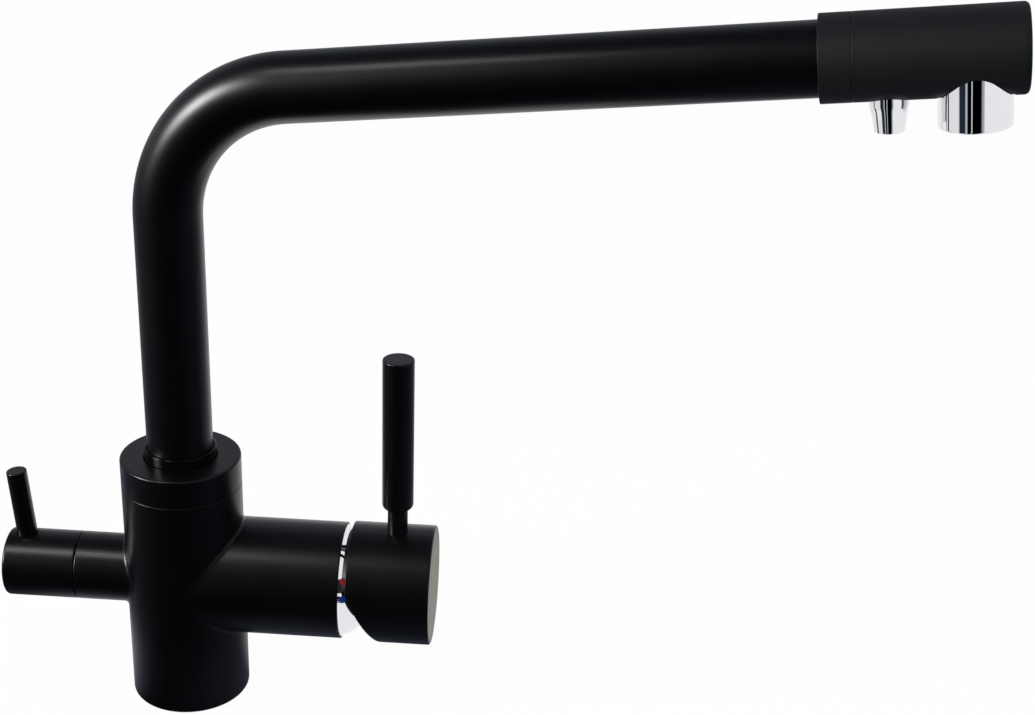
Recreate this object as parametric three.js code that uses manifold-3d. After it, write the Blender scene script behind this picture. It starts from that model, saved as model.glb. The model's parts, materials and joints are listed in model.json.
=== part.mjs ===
// Three way filtered water tap: hot and cold water mixed by one side lever, and filtered
// water by a quarter turn knob, each with its own way through one swivelling spout.
// Millimetres, +Z up. The origin is the centre of the foot, on the worktop. The mixer
// barrel points along +X and the filter barrel along -X; the front is towards -Y.
import * as THREE from 'three';
import { mergeVertices } from 'three/addons/utils/BufferGeometryUtils.js';
import Module from 'manifold-3d';

const wasm = await Module();
wasm.setup();

// ---- Fits --------------------------------------------------------------------------------
const gap = 0.3; // between faces that touch on the real tap, and round what turns
const slack = 0.4; // between a screwed or pushed-in piece and its hole

// ---- Column ------------------------------------------------------------------------------
const bodyRadius = 23;
const bodyHeight = 92;
const footChamfer = 1.2;
const armHeight = 52; // the axis of both side barrels
const hoseCavityRadius = 16.5; // clears a 35 mm tap hole
const hoseCavityHeight = 20;
const footSealRadius = 19.8; // middle of the seal's ring
const footSealWidth = 1.8;
const footSealHeight = 1.8;
const inletSocketRadius = 5; // M10 hose ends
const inletSocketDepth = 12;
const inletSocketReach = 5; // hot and cold, from the column's axis towards the mixer
const filteredSocketReach = 9.5; // towards the filter side
const inletWayRadius = 3;
const mixedWayRadius = 3.4;
const filterWayRadius = 1.8;
const studSocketRadius = 4; // M8 fixing stud
const studSocketDepth = 12;
const studSocketReach = 6.4; // towards the filter side
const studSocketOffset = 8.4; // towards the front

// ---- Spout socket, collar and slip rings -------------------------------------------------
const connectorRadius = 13.5;
const connectorFlangeWidth = 2.9;
const connectorFlangeHeight = 4;
const connectorFlangeDepth = 12; // its underside, below the column's top
const connectorFloor = 6; // thickness under its hollow
const connectorWall = 2.1;
const connectorSpigotLength = 13.5; // up inside the tube
const connectorWays = 4; // holes for the mixed water
const connectorRings = 2;
const mixingChamber = 2; // room under the connector
const mixingChamberDrop = 0.5; // its floor, below the middle of the mixed water's way
const filterPortRadius = 5;
const filterPortGrip = 6; // of the spigot in its bore
const filterPortRingPlace = 3.2; // above its end
const filterPortSection = 1.35; // of its O-ring
const filterPortChamber = 6; // room under the filter port's spigot
const collarHeight = 11.2;
const collarThreadRadius = 19.4;
const collarThreadLength = 6;
const collarChamfer = 0.7;
const collarLedgeHeight = 1.5;
const slipRingHeight = 1.2;
const bushWall = 0.9;
const bushRise = 4;
const bushEdge = 0.3;
const oringSection = 1.8;

// ---- Spout -------------------------------------------------------------------------------
const tubeRadius = 12.5;
const tubeWall = 1.2;
const spoutHeight = 245; // where the arm's axis crosses the column's
const spoutRiseDegrees = 7.8; // the arm climbs towards its head
const spoutTurnDegrees = -8; // how the spout stands at rest, from +X
const bendRadius = 52;
const hoseRadius = 4.5;
const hoseWall = 1.5;
const sleeveLength = 9;
const sleeveWall = 0.7;
const sleeveSetback = 1; // from the hose's end
const barbLength = 11;

// ---- Spout head, along the arm from the column's axis ------------------------------------
const headStart = 226.6;
const adaptorWall = 1.65;
const adaptorLength = 10.4;
const adaptorWeb = 3.9;
const headEdge = 0.4; // on both sides of the head's seam
const shellLength = 54.2;
const shellWall = 1.9;
const shellEdge = 1.6;
const coreNeckFloor = 1; // past its barb's root
const coreNeckWall = 2.6;
const coreWayRadius = 3; // the mixed water's way through the core
const coreOutletRadius = 6;
const headSealReach = 4.5; // from the neck's end
const aeratorSetback = 16.3; // from the head's end
const aeratorRadius = 11.9;
const aeratorWall = 1.8;
const aeratorReach = 24.1; // from the arm's axis to its outlet
const aeratorTop = 5;
const aeratorRecess = 1; // ring of air round the housing
const aeratorLip = 1.3;
const aeratorLipWidth = 0.8;
const aeratorEdge = 0.4;
const aeratorSpigotDepth = 7; // of the core's thread in the housing
const aeratorSealHeight = 1.6;
const aeratorSealWidth = 2;
const gridHeight = 3;
const aeratorHoles = 7;
const insertHoleRadius = 1.2;
const gridHoleRadius = 1.9;
const nozzleSetback = 11; // from the shell's start
const nozzleReach = 24.8;
const nozzleTopRadius = 6.45;
const nozzleWaistRadius = 5.65;
const nozzleTipRadius = 5;
const nozzleSealSection = 1.65;
const nozzleShankLength = 6;
const nozzleTopLength = 1.5; // below the shell
const nozzleWaistLength = 5;
const nozzleBore = 3.7;
const straightenerHeight = 5;
const straightenerSetback = 1;
const straightenerHoles = 6;
const straightenerHoleRadius = 0.65;

// ---- Mixer side, outwards along the barrel -----------------------------------------------
const barrelRadius = 22.8;
const barrelReach = 8; // from the stem's pin to the barrel's end
const cartridgeSeat = 27;
const cartridgeRadius = 17.4; // 35 mm cartridge
const cartridgeWall = 3.2;
const cartridgeBaseHeight = 4.2;
const cartridgeLid = 2.4;
const portSealHeight = 1.8;
const portSealRadius = 4.5;
const basePortRadius = 2.6;
const discPortRadius = 2.2;
const mixedPortOffset = 8.5;
const inletPortOffset = 5;
const inletPortSpread = 9;
const ceramicHeight = 3.3;
const movingDiscOffset = 2.3; // below the axis when closed
const discPocketRadius = 6;
const carrierHeight = 6.6;
const turretRadius = 10.6;
const turretRoom = 0.9; // round the turret's flange and the moving disc
const turretFlangeHeight = 3;
const turretRise = 4; // outwards of the stem's pin
const neckWall = 3;
const neckSetback = 1;
const stemHalfWidth = 4;
const stemShankHalfWidth = 3;
const stemBallRadius = 2.2;
const stemBallArm = 11; // from the pin down to the ball
const stemBallSink = 1.6; // of the ball's middle, in the carrier
const stemNeckRadius = 1.5;
const stemNeckLength = 4;
const stemStep = 3; // from the turret to the stem's wide end
const stemEndDepth = 10.2; // inside of the handle's closed end
const tiltDegrees = 25;
const pivotPinRadius = 1.5;
const nutThreadRadius = 19.4;
const nutHeight = 5;
const nutNotches = 6;
const nutNotchWidth = 3;
const nutNotchDepth = 1.6;
const domeRadius = 23.5; // a sphere about the pin
const domeWall = 1.3;
const domeSkirtWall = 1.8;
const handleRadius = 23.4;
const handleMouthGap = 3.1; // from the barrel's end
const handleLength = 32.1;
const handleChamfer = 0.8;
const handleReliefTop = 6.3; // above the axis
const handleReliefDegrees = 25.6;
const leverSetback = 17.7; // from the handle's mouth
const leverNeckRadius = 3.9;
const leverNeckTop = 33.9; // above the barrel's axis, as the next three
const leverGripBottom = 36.2;
const leverShoulder = 0.8; // where the grip rounds off to its neck
const leverTop = 96.4;
const leverSeat = 20;
const leverRadius = 6.05;
const leverChamfer = 0.6;
const leverStudRadius = 2.4; // M5
const leverStudInNeck = 6.7;
const indexDotRadius = 1.4;
const hotDotDegrees = 61; // from the top, towards the front
const coldDotDegrees = 79.5;
const indexDotDepth = 0.8;
const indexDotMargin = 0.5; // from the barrel's end
const indexDotSink = 0.1; // below the dome's face

// ---- Filter side, outwards along the barrel ----------------------------------------------
const filterRadius = 13.3;
const filterBarrelEnd = 41.6;
const filterSeat = 24;
const valveThreadRadius = 9.5;
const valveWall = 1.2;
const valveNeckRadius = 7;
const valveNeckReach = 4.4; // past the barrel's end
const valveSetback = 1; // its flange, inside the barrel's end
const filterPortSpread = 4;
const seatSealHeight = 1.5;
const filterDiscHeight = 2.8;
const spindlePlateHeight = 2.2;
const spindleRadius = 4.2;
const spindleRingSection = 1.2;
const clipHeight = 0.8;
const clipRadius = 6.4;
const clipGroove = 0.9;
const knobLength = 28.1;
const knobFace = 4; // past the spindle's end
const knobEdge = 1;
const knobCavityRadius = 10.2;
const knobCavityRoom = 2.5; // past the valve's neck
const pinSetback = 8.4; // of the pin, where it meets the knob's axis, from its end
const pinLeanDegrees = 4.6;
const pinRadius = 3.9;
const pinTop = 40.6;
const pinSeat = 9;
const pinTailRadius = 2.4;
const pinChamfer = 0.5;

// ---- Facets ------------------------------------------------------------------------------
const largeSides = 32;
const midSides = 24;
const innerSides = 18;
const smallSides = 12;
const tinySides = 8;
const bendSteps = 9;
const cutPast = 1; // how far a cut runs past the face that it opens
const roundShare = 0.3; // of an edge's radius, left outside the middle facet of its round

const radians = THREE.MathUtils.degToRad;

// ---- Finishes ----------------------------------------------------------------------------
const finishes = {
  blackCoat: { color: 0x1c1c1e, roughness: 0.42, metalness: 0.25 },
  headCoat: { color: 0x2a2a2e, roughness: 0.5, metalness: 0.1 },
  glossBlack: { color: 0x0c0c0d, roughness: 0.12, metalness: 0 },
  chrome: { color: 0xe2e4e8, roughness: 0.05, metalness: 1 },
  brass: { color: 0xb8964e, roughness: 0.35, metalness: 1 },
  steel: { color: 0xa8aaad, roughness: 0.3, metalness: 1 },
  rubber: { color: 0x161616, roughness: 0.85, metalness: 0 },
  ceramic: { color: 0xf1ede4, roughness: 0.25, metalness: 0 },
  whiteAcetal: { color: 0xe9e8e3, roughness: 0.45, metalness: 0 },
  greyAcetal: { color: 0x77797c, roughness: 0.5, metalness: 0 },
  hose: { color: 0xdfe3e2, roughness: 0.5, metalness: 0 },
  redMark: { color: 0xb3261a, roughness: 0.35, metalness: 0 },
  blueMark: { color: 0x1d3fa8, roughness: 0.35, metalness: 0 },
};

// ---- Solids ------------------------------------------------------------------------------
function signedVolume(positions, index) {
  const [a, b, c] = [new THREE.Vector3(), new THREE.Vector3(), new THREE.Vector3()];
  let volume = 0;
  for (let i = 0; i < index.length; i += 3) {
    a.fromBufferAttribute(positions, index[i]);
    b.fromBufferAttribute(positions, index[i + 1]);
    c.fromBufferAttribute(positions, index[i + 2]);
    volume += a.dot(b.cross(c)) / 6;
  }
  return volume;
}

// A closed three.js geometry as a solid: shared corners merged, empty triangles at an
// axis dropped, faces turned outwards.
function solid(geometry) {
  const bare = geometry.clone();
  bare.deleteAttribute('normal');
  bare.deleteAttribute('uv');
  const merged = mergeVertices(bare, 1e-4);
  const index = [];
  for (let i = 0; i < merged.index.count; i += 3) {
    const corners = [0, 1, 2].map((step) => merged.index.getX(i + step));
    if (new Set(corners).size === 3) index.push(...corners);
  }
  if (signedVolume(merged.attributes.position, index) < 0) index.reverse();
  return new wasm.Manifold(new wasm.Mesh({
    numProp: 3,
    vertProperties: new Float32Array(merged.attributes.position.array),
    triVerts: new Uint32Array(index),
  }));
}

const join = (first, ...rest) => rest.reduce((whole, next) => whole.add(next), first);
const cut = (first, ...rest) => rest.reduce((whole, next) => whole.subtract(next), first);

// Radius and height pairs turned about +Z.
function turned(profile, sides) {
  const points = profile.map(([radius, height]) => new THREE.Vector2(radius, height));
  return new THREE.LatheGeometry(points, sides).rotateX(Math.PI / 2);
}

function rod(radius, low, high, sides = innerSides) {
  return turned([[0, low], [radius, low], [radius, high], [0, high]], sides);
}

function ring(outer, inner, low, high, sides = innerSides) {
  const profile = [[inner, low], [outer, low], [outer, high], [inner, high], [inner, low]];
  return turned(profile, sides);
}

// A rubber ring of round section.
function oring(inner, section, height, sides = innerSides, sectionSides = 5) {
  const profile = [];
  for (let i = 0; i <= sectionSides; i += 1) {
    const angle = (2 * Math.PI * i) / sectionSides;
    const reach = section / 2;
    profile.push([inner + reach + reach * Math.cos(angle), height + reach * Math.sin(angle)]);
  }
  profile[sectionSides] = profile[0];
  return turned(profile, sides);
}

// A box between two corners.
function block([x0, y0, z0], [x1, y1, z1]) {
  const box = new THREE.BoxGeometry(x1 - x0, y1 - y0, z1 - z0);
  return box.translate((x0 + x1) / 2, (y0 + y1) / 2, (z0 + z1) / 2);
}

// A round hole or rod between two points.
function drill(from, to, radius, sides = smallSides) {
  const start = new THREE.Vector3(...from);
  const line = new THREE.Vector3(...to).sub(start);
  const turn = new THREE.Quaternion();
  turn.setFromUnitVectors(new THREE.Vector3(0, 0, 1), line.clone().normalize());
  return rod(radius, 0, line.length(), sides).applyQuaternion(turn)
    .translate(start.x, start.y, start.z);
}

// Copies of a geometry at even angles about +Z.
function around(count, make) {
  return Array.from({ length: count }, (_, i) => make().rotateZ((2 * Math.PI * i) / count));
}

// The height of a sphere's surface above its centre at a distance from its axis.
const rise = (sphereRadius, distance) => Math.sqrt(sphereRadius ** 2 - distance ** 2);

// An arc of a sphere about (0, centre) as profile points, from one height to another.
function sphereArc(radius, centre, from, to, steps) {
  const start = Math.asin((from - centre) / radius);
  const turn = Math.asin((to - centre) / radius) - start;
  return Array.from({ length: steps + 1 }, (_, i) => {
    const angle = start + (turn * i) / steps;
    return [radius * Math.cos(angle), centre + radius * Math.sin(angle)];
  });
}

function part(name, body, finish) {
  const manifold = body instanceof THREE.BufferGeometry ? solid(body) : body;
  const { vertProperties, triVerts } = manifold.getMesh();
  const geometry = new THREE.BufferGeometry();
  geometry.setAttribute('position', new THREE.BufferAttribute(vertProperties, 3));
  geometry.setIndex(new THREE.BufferAttribute(triVerts, 1));
  geometry.computeVertexNormals();
  const mesh = new THREE.Mesh(geometry, new THREE.MeshStandardMaterial(finishes[finish]));
  mesh.name = name;
  return mesh;
}

function group(frame, ...members) {
  const holder = new THREE.Group();
  if (frame) holder.applyMatrix4(frame);
  holder.add(...members);
  return holder;
}

// ---- Frames ------------------------------------------------------------------------------
function frameOf(xAxis, yAxis, zAxis, origin) {
  const axes = [xAxis, yAxis, zAxis].map((axis) => new THREE.Vector3(...axis));
  return new THREE.Matrix4().makeBasis(...axes).setPosition(...origin);
}

// Both side frames have x up and z outwards along their barrel.
const mixerFrame = frameOf([0, 0, 1], [0, -1, 0], [1, 0, 0], [0, 0, armHeight]);
const filterFrame = frameOf([0, 0, 1], [0, 1, 0], [-1, 0, 0], [0, 0, armHeight]);
const spoutFrame = new THREE.Matrix4().makeRotationZ(radians(spoutTurnDegrees));

// The head's frame has z along the arm and x square to it, upwards.
const armCos = Math.cos(radians(spoutRiseDegrees));
const armSin = Math.sin(radians(spoutRiseDegrees));
const headFrame = frameOf(
  [-armSin, 0, armCos], [0, -1, 0], [armCos, 0, armSin], [0, 0, spoutHeight],
);

// An outlet's frame, inside the head's, has z downwards from the arm's axis.
function outletFrame(place) {
  return new THREE.Matrix4().makeRotationY(-Math.PI / 2).setPosition(0, 0, place);
}

// ---- Heights that follow from the sizes above --------------------------------------------
const chamberFloor = armHeight + mixedPortOffset - mixingChamberDrop;
const connectorFlangeRadius = connectorRadius + connectorFlangeWidth;
const connectorFoot = chamberFloor + mixingChamber;
const spigotFoot = chamberFloor - filterPortGrip;
const portFloor = spigotFoot - filterPortChamber;
const flangeBottom = bodyHeight - connectorFlangeDepth;
const flangeTop = flangeBottom + connectorFlangeHeight;
const ledgeHeight = flangeBottom - slipRingHeight - 2 * gap;
const collarTop = bodyHeight + gap + collarHeight;
const collarFoot = flangeTop + slipRingHeight + 2 * gap;
const socketRadius = connectorRadius + slack;
const flangeSocketRadius = connectorFlangeRadius + slack;
const tubeBore = tubeRadius - tubeWall;
const bushInner = tubeRadius + gap;
const bushOuter = bushInner + bushWall;
const inletWayHeight = armHeight - inletPortOffset;

// ---- Column ------------------------------------------------------------------------------
function mainBody() {
  const column = turned([
    [0, 0], [bodyRadius - footChamfer, 0], [bodyRadius, footChamfer],
    [bodyRadius, bodyHeight], [0, bodyHeight],
  ], largeSides);
  const mixerBarrel = rod(barrelRadius, 0, barrelEnd, largeSides).applyMatrix4(mixerFrame);
  const filterBarrel = rod(filterRadius, 0, filterBarrelEnd, largeSides)
    .applyMatrix4(filterFrame);
  const cartridgeBore = rod(cartridgeRadius + slack, cartridgeSeat, barrelEnd + cutPast);
  const nutBore = rod(nutThreadRadius + slack, housingTop - gap, barrelEnd + cutPast);
  const valveBore = rod(valveThreadRadius + slack, filterSeat, filterBarrelEnd + cutPast);
  const sealInner = footSealRadius - footSealWidth / 2 - gap;
  const sealOuter = footSealRadius + footSealWidth / 2 + gap;
  const ceiling = hoseCavityHeight + inletSocketDepth;
  const top = bodyHeight + cutPast;
  return cut(
    join(solid(column), solid(mixerBarrel), solid(filterBarrel)),
    // Under the foot: the hoses' room, the seal's groove and the sockets.
    solid(rod(hoseCavityRadius, -cutPast, hoseCavityHeight)),
    solid(ring(sealOuter, sealInner, -cutPast, footSealHeight + gap, midSides)),
    ...[...inletSockets(), studSocket()].map(({ at, radius, depth }) => solid(
      drill([...at, hoseCavityHeight - cutPast], [...at, hoseCavityHeight + depth], radius),
    )),
    // Above: the spout's socket in four steps.
    solid(rod(collarThreadRadius + slack, collarFoot - gap, top)),
    solid(rod(flangeSocketRadius, ledgeHeight, top)),
    solid(rod(socketRadius, chamberFloor, top)),
    solid(rod(filterPortRadius + slack, portFloor, top, smallSides)),
    // At the sides: the cartridge's and the valve's bores.
    solid(cartridgeBore.applyMatrix4(mixerFrame)),
    solid(nutBore.applyMatrix4(mixerFrame)),
    solid(valveBore.applyMatrix4(filterFrame)),
    ...waterways(ceiling).map(solid),
  );
}

const inletPlaces = {
  hot: [inletSocketReach, inletPortSpread],
  cold: [inletSocketReach, -inletPortSpread],
  filtered: [-filteredSocketReach, filterPortSpread],
};

const inletSockets = () => Object.values(inletPlaces)
  .map((at) => ({ at, radius: inletSocketRadius, depth: inletSocketDepth }));

const studSocket = () => ({
  at: [-studSocketReach, -studSocketOffset], radius: studSocketRadius, depth: studSocketDepth,
});

// Each way is two drillings that meet; the first ends half a radius past the second's middle.
function waterways(ceiling) {
  const { hot, cold, filtered } = inletPlaces;
  const low = ceiling - cutPast;
  const seat = cartridgeSeat + cutPast;
  const valve = -filterSeat - cutPast;
  const mixedHeight = armHeight + mixedPortOffset;
  return [
    ...[hot, cold].flatMap(([x, y]) => [
      drill([x, y, low], [x, y, inletWayHeight + inletWayRadius / 2], inletWayRadius),
      drill([x, y, inletWayHeight], [seat, y, inletWayHeight], inletWayRadius),
    ]),
    drill([socketRadius - mixedWayRadius, 0, mixedHeight], [seat, 0, mixedHeight],
      mixedWayRadius),
    drill([...filtered, low], [...filtered, armHeight + filterWayRadius / 2], filterWayRadius),
    drill([valve, filterPortSpread, armHeight], [...filtered, armHeight], filterWayRadius),
    drill([valve, -filterPortSpread, armHeight], [0, -filterPortSpread, armHeight],
      filterWayRadius),
  ];
}

function baseSeal() {
  const half = footSealWidth / 2;
  return ring(footSealRadius + half, footSealRadius - half, 0, footSealHeight, midSides);
}

function spoutCollar() {
  const bore = bushOuter + gap;
  return turned([
    [bushInner, collarFoot], [collarThreadRadius, collarFoot],
    [collarThreadRadius, bodyHeight + gap], [bodyRadius, bodyHeight + gap],
    [bodyRadius, collarTop - collarChamfer], [bodyRadius - collarChamfer, collarTop],
    [bore, collarTop], [bore, collarFoot + collarLedgeHeight],
    [bushInner, collarFoot + collarLedgeHeight], [bushInner, collarFoot],
  ], largeSides);
}

function spoutBush() {
  const low = collarFoot + collarLedgeHeight + gap;
  const top = collarTop + bushRise;
  return turned([
    [bushInner, low], [bushOuter, low], [bushOuter, top - bushEdge],
    [bushOuter - bushEdge, top], [bushInner, top], [bushInner, low],
  ], midSides);
}

function slipRing(low) {
  const inner = low < flangeBottom ? connectorRadius : tubeRadius;
  return ring(connectorFlangeRadius, inner + gap, low, low + slipRingHeight);
}

// ---- Spout -------------------------------------------------------------------------------
// A run whose stations are given one by one: a straight needs two, the bend one every
// few degrees.
class StationLine extends THREE.Curve {
  constructor(stations) {
    super();
    this.stations = stations;
  }

  station(share) {
    return this.stations[Math.round(share * (this.stations.length - 1))];
  }

  getPointAt(share, target = new THREE.Vector3()) {
    return target.copy(this.station(share).point);
  }

  getTangentAt(share, target = new THREE.Vector3()) {
    return target.copy(this.station(share).tangent);
  }
}

// The spout's centre line from a height on the column's axis to a distance along the arm.
function spoutLine(startHeight, endReach) {
  const turn = Math.PI / 2 - radians(spoutRiseDegrees);
  const tangentLength = bendRadius * Math.tan(turn / 2);
  const bendFoot = spoutHeight - tangentLength;
  const stations = [{
    point: new THREE.Vector3(0, 0, startHeight), tangent: new THREE.Vector3(0, 0, 1),
  }];
  for (let i = 0; i <= bendSteps; i += 1) {
    const angle = (turn * i) / bendSteps;
    const [side, up] = [bendRadius * (1 - Math.cos(angle)), bendRadius * Math.sin(angle)];
    stations.push({
      point: new THREE.Vector3(side, 0, bendFoot + up),
      tangent: new THREE.Vector3(Math.sin(angle), 0, Math.cos(angle)),
    });
  }
  stations.push({
    point: new THREE.Vector3(endReach * armCos, 0, spoutHeight + endReach * armSin),
    tangent: new THREE.Vector3(armCos, 0, armSin),
  });
  return new StationLine(stations);
}

function tubeAlong(line, outer, inner, sides) {
  const circle = (radius) => Array.from({ length: sides }, (_, i) => {
    const angle = (2 * Math.PI * i) / sides;
    return new THREE.Vector2(radius * Math.cos(angle), radius * Math.sin(angle));
  });
  const section = new THREE.Shape(circle(outer));
  section.holes.push(new THREE.Path(circle(inner)));
  const steps = line.stations.length - 1;
  return new THREE.ExtrudeGeometry(section, { steps, extrudePath: line, bevelEnabled: false });
}

const tubeEnd = headStart + adaptorLength - adaptorWeb - gap;
const neckStart = headStart + adaptorLength - coreNeckFloor - barbLength;
const barbRadius = hoseRadius - hoseWall - gap;
const barbBase = connectorFoot + connectorFloor;
const hoseFoot = barbBase + gap;
const hoseEnd = neckStart + barbLength - 2 * gap;

const spoutTube = () => tubeAlong(spoutLine(flangeTop + gap, tubeEnd),
  tubeRadius, tubeBore, midSides);

const filterHose = () => tubeAlong(spoutLine(hoseFoot, hoseEnd),
  hoseRadius, hoseRadius - hoseWall, tinySides);

// The floor of a groove for an O-ring in a round face, and the ring that lies in it.
const grooveFloor = (radius, section) => radius - section + gap / 2;

function groove(radius, section, height, sides) {
  const half = section / 2 + gap;
  return solid(ring(radius + cutPast, grooveFloor(radius, section), height - half,
    height + half, sides));
}

const seatedRing = (radius, section, height, sides) => oring(
  grooveFloor(radius, section) + gap, section - gap, height, sides,
);

function spoutConnector() {
  const spigotRadius = tubeBore - gap;
  const spigotTop = flangeTop + connectorSpigotLength;
  const hollowRadius = spigotRadius - connectorWall;
  const wayReach = hollowRadius - filterWayRadius - gap;
  const barbTop = barbBase + barbLength;
  const shell = solid(turned([
    [0, spigotFoot], [filterPortRadius, spigotFoot], [filterPortRadius, connectorFoot],
    [connectorRadius, connectorFoot], [connectorRadius, flangeBottom],
    [connectorFlangeRadius, flangeBottom], [connectorFlangeRadius, flangeTop],
    [spigotRadius, flangeTop], [spigotRadius, spigotTop], [0, spigotTop],
  ], innerSides));
  const hollow = solid(rod(hollowRadius, barbBase, spigotTop + cutPast));
  const barb = solid(rod(barbRadius, connectorFoot, barbTop, smallSides));
  const filterWay = rod(filterWayRadius, spigotFoot - cutPast, barbTop + cutPast, tinySides);
  const mixedWays = around(connectorWays, () => drill(
    [wayReach, 0, connectorFoot - cutPast], [wayReach, 0, barbBase + cutPast],
    filterWayRadius, tinySides,
  ));
  const grooves = connectorRingHeights.map((height) => groove(
    connectorRadius, oringSection, height,
  ));
  return cut(
    join(cut(shell, hollow), barb), solid(filterWay), ...mixedWays.map(solid), ...grooves,
    groove(filterPortRadius, filterPortSection, filterPortRingHeight, smallSides),
  );
}

const connectorRingHeights = Array.from({ length: connectorRings }, (_, i) => (
  connectorFoot + ((ledgeHeight - connectorFoot) * (i + 1)) / (connectorRings + 1)));
const filterPortRingHeight = spigotFoot + filterPortRingPlace;

const connectorOring = (height) => seatedRing(connectorRadius, oringSection, height);
const filterPortOring = () => seatedRing(filterPortRadius, filterPortSection,
  filterPortRingHeight, smallSides);

// A crimped sleeve that holds an end of the hose on its barb.
function hoseSleeve() {
  const inner = hoseRadius + gap;
  return ring(inner + sleeveWall, inner, 0, sleeveLength, smallSides);
}

// ---- Spout head, in its own frame --------------------------------------------------------
const headRadius = tubeRadius + gap + adaptorWall;

function headAdaptor() {
  const end = headStart + adaptorLength;
  const web = end - adaptorWeb;
  const bore = tubeRadius + gap;
  return turned([
    [bore, headStart], [headRadius - headEdge, headStart], [headRadius, headStart + headEdge],
    [headRadius, end - headEdge], [headRadius - headEdge, end], [tubeBore, end],
    [tubeBore, web], [bore, web], [bore, headStart],
  ], largeSides);
}

const coreRadius = headRadius - shellWall - gap;
const nozzleShankRadius = nozzleTopRadius - nozzleSealSection - 2 * gap;
const shellStart = headStart + adaptorLength + gap;
const shellEnd = shellStart + shellLength;
const nozzlePlace = shellStart + nozzleSetback;
const aeratorPlace = shellEnd - aeratorSetback;
const recessRadius = aeratorRadius + aeratorRecess;

function headShell() {
  const cavityEnd = shellEnd - shellWall;
  const outside = solid(turned([
    [0, shellStart], [headRadius - headEdge, shellStart], [headRadius, shellStart + headEdge],
    [headRadius, shellEnd - shellEdge],
    [headRadius - roundShare * shellEdge, shellEnd - roundShare * shellEdge],
    [headRadius - shellEdge, shellEnd], [0, shellEnd],
  ], largeSides));
  const cavity = solid(rod(headRadius - shellWall, shellStart - cutPast, cavityEnd, largeSides));
  const aeratorHole = rod(recessRadius, 0, headRadius + cutPast)
    .applyMatrix4(outletFrame(aeratorPlace));
  const nozzleHole = rod(nozzleTopRadius + slack, 0, headRadius + cutPast, smallSides)
    .applyMatrix4(outletFrame(nozzlePlace));
  return cut(outside, cavity, solid(aeratorHole), solid(nozzleHole));
}

// The brass core: a neck with a hose barb in the tube's end, a way for the mixed water along
// its upper side, and seats for both outlets below.
function headCore() {
  const neckRadius = tubeBore - gap;
  const start = headStart + adaptorLength;
  const end = shellEnd - shellWall - gap;
  const outlet = outletFrame(aeratorPlace);
  const spigotFootDepth = aeratorTop + aeratorSpigotDepth;
  const bodyOfCore = solid(turned([
    [0, neckStart], [neckRadius, neckStart], [neckRadius, start + gap],
    [coreRadius, start + gap], [coreRadius, end], [0, end],
  ], innerSides));
  const hollow = rod(neckRadius - coreNeckWall, neckStart - cutPast, neckStart + barbLength);
  const barb = rod(barbRadius, neckStart + cutPast, start, smallSides);
  const recess = rod(recessRadius + slack, aeratorTop - gap, headRadius + cutPast)
    .applyMatrix4(outlet);
  const spigot = rod(aeratorSpigotRadius, 0, spigotFootDepth).applyMatrix4(outlet);
  const mixedReach = coreRadius / 2;
  const under = -coreRadius - cutPast;
  const ways = [
    drill([mixedReach, 0, start - 2 * cutPast], [mixedReach, 0, aeratorPlace], coreWayRadius),
    drill([mixedReach + cutPast, 0, aeratorPlace], [-spigotFootDepth - cutPast, 0, aeratorPlace],
      coreOutletRadius),
    drill([0, 0, neckStart], [0, 0, nozzlePlace], filterWayRadius, tinySides),
    drill([filterWayRadius / 2, 0, nozzlePlace], [under, 0, nozzlePlace], filterWayRadius,
      tinySides),
    drill([-shankTop, 0, nozzlePlace], [under, 0, nozzlePlace], nozzleShankRadius + gap),
    drill([-nozzleSealTop, 0, nozzlePlace], [under, 0, nozzlePlace], nozzleTopRadius),
  ];
  return cut(
    join(cut(bodyOfCore, solid(hollow), solid(recess)), solid(barb), solid(spigot)),
    groove(neckRadius, oringSection, headSealPlace), ...ways.map(solid),
  );
}

const aeratorSpigotRadius = aeratorRadius - aeratorWall - gap;
const headSealPlace = neckStart + headSealReach;
const shankTop = coreRadius + gap - nozzleShankLength;
const nozzleSealTop = coreRadius - nozzleSealSection - gap;

const headSeal = () => seatedRing(tubeBore - gap, oringSection, headSealPlace);

function aeratorHousing() {
  const bore = aeratorRadius - aeratorWall;
  const lipBore = bore - aeratorLipWidth;
  return turned([
    [bore, aeratorTop], [aeratorRadius, aeratorTop],
    [aeratorRadius, aeratorReach - aeratorEdge], [aeratorRadius - aeratorEdge, aeratorReach],
    [lipBore, aeratorReach], [lipBore, aeratorReach - aeratorLip],
    [bore, aeratorReach - aeratorLip], [bore, aeratorTop],
  ], largeSides);
}

const aeratorSealTop = aeratorTop + aeratorSpigotDepth + gap;
const insertTop = aeratorSealTop + aeratorSealHeight + gap;
const gridTop = aeratorReach - aeratorLip - gap - gridHeight;

const aeratorSeal = () => ring(aeratorSpigotRadius, aeratorSpigotRadius - aeratorSealWidth,
  aeratorSealTop, aeratorSealTop + aeratorSealHeight);

// A disc with one round hole in its middle and a ring of them in between that and its edge.
function pierced(radius, low, high, holes, holeRadius) {
  const reach = (radius + holeRadius) / 2;
  const hole = (place) => drill([place, 0, low - cutPast], [place, 0, high + cutPast],
    holeRadius, tinySides);
  const outerHoles = around(holes, () => hole(reach)).map(solid);
  return cut(solid(rod(radius, low, high)), solid(hole(0)), ...outerHoles);
}

const aeratorInsert = () => pierced(aeratorSpigotRadius, insertTop, gridTop - gap,
  aeratorHoles, insertHoleRadius);
const aeratorGrid = () => pierced(aeratorSpigotRadius, gridTop, gridTop + gridHeight,
  aeratorHoles, gridHoleRadius);

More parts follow.
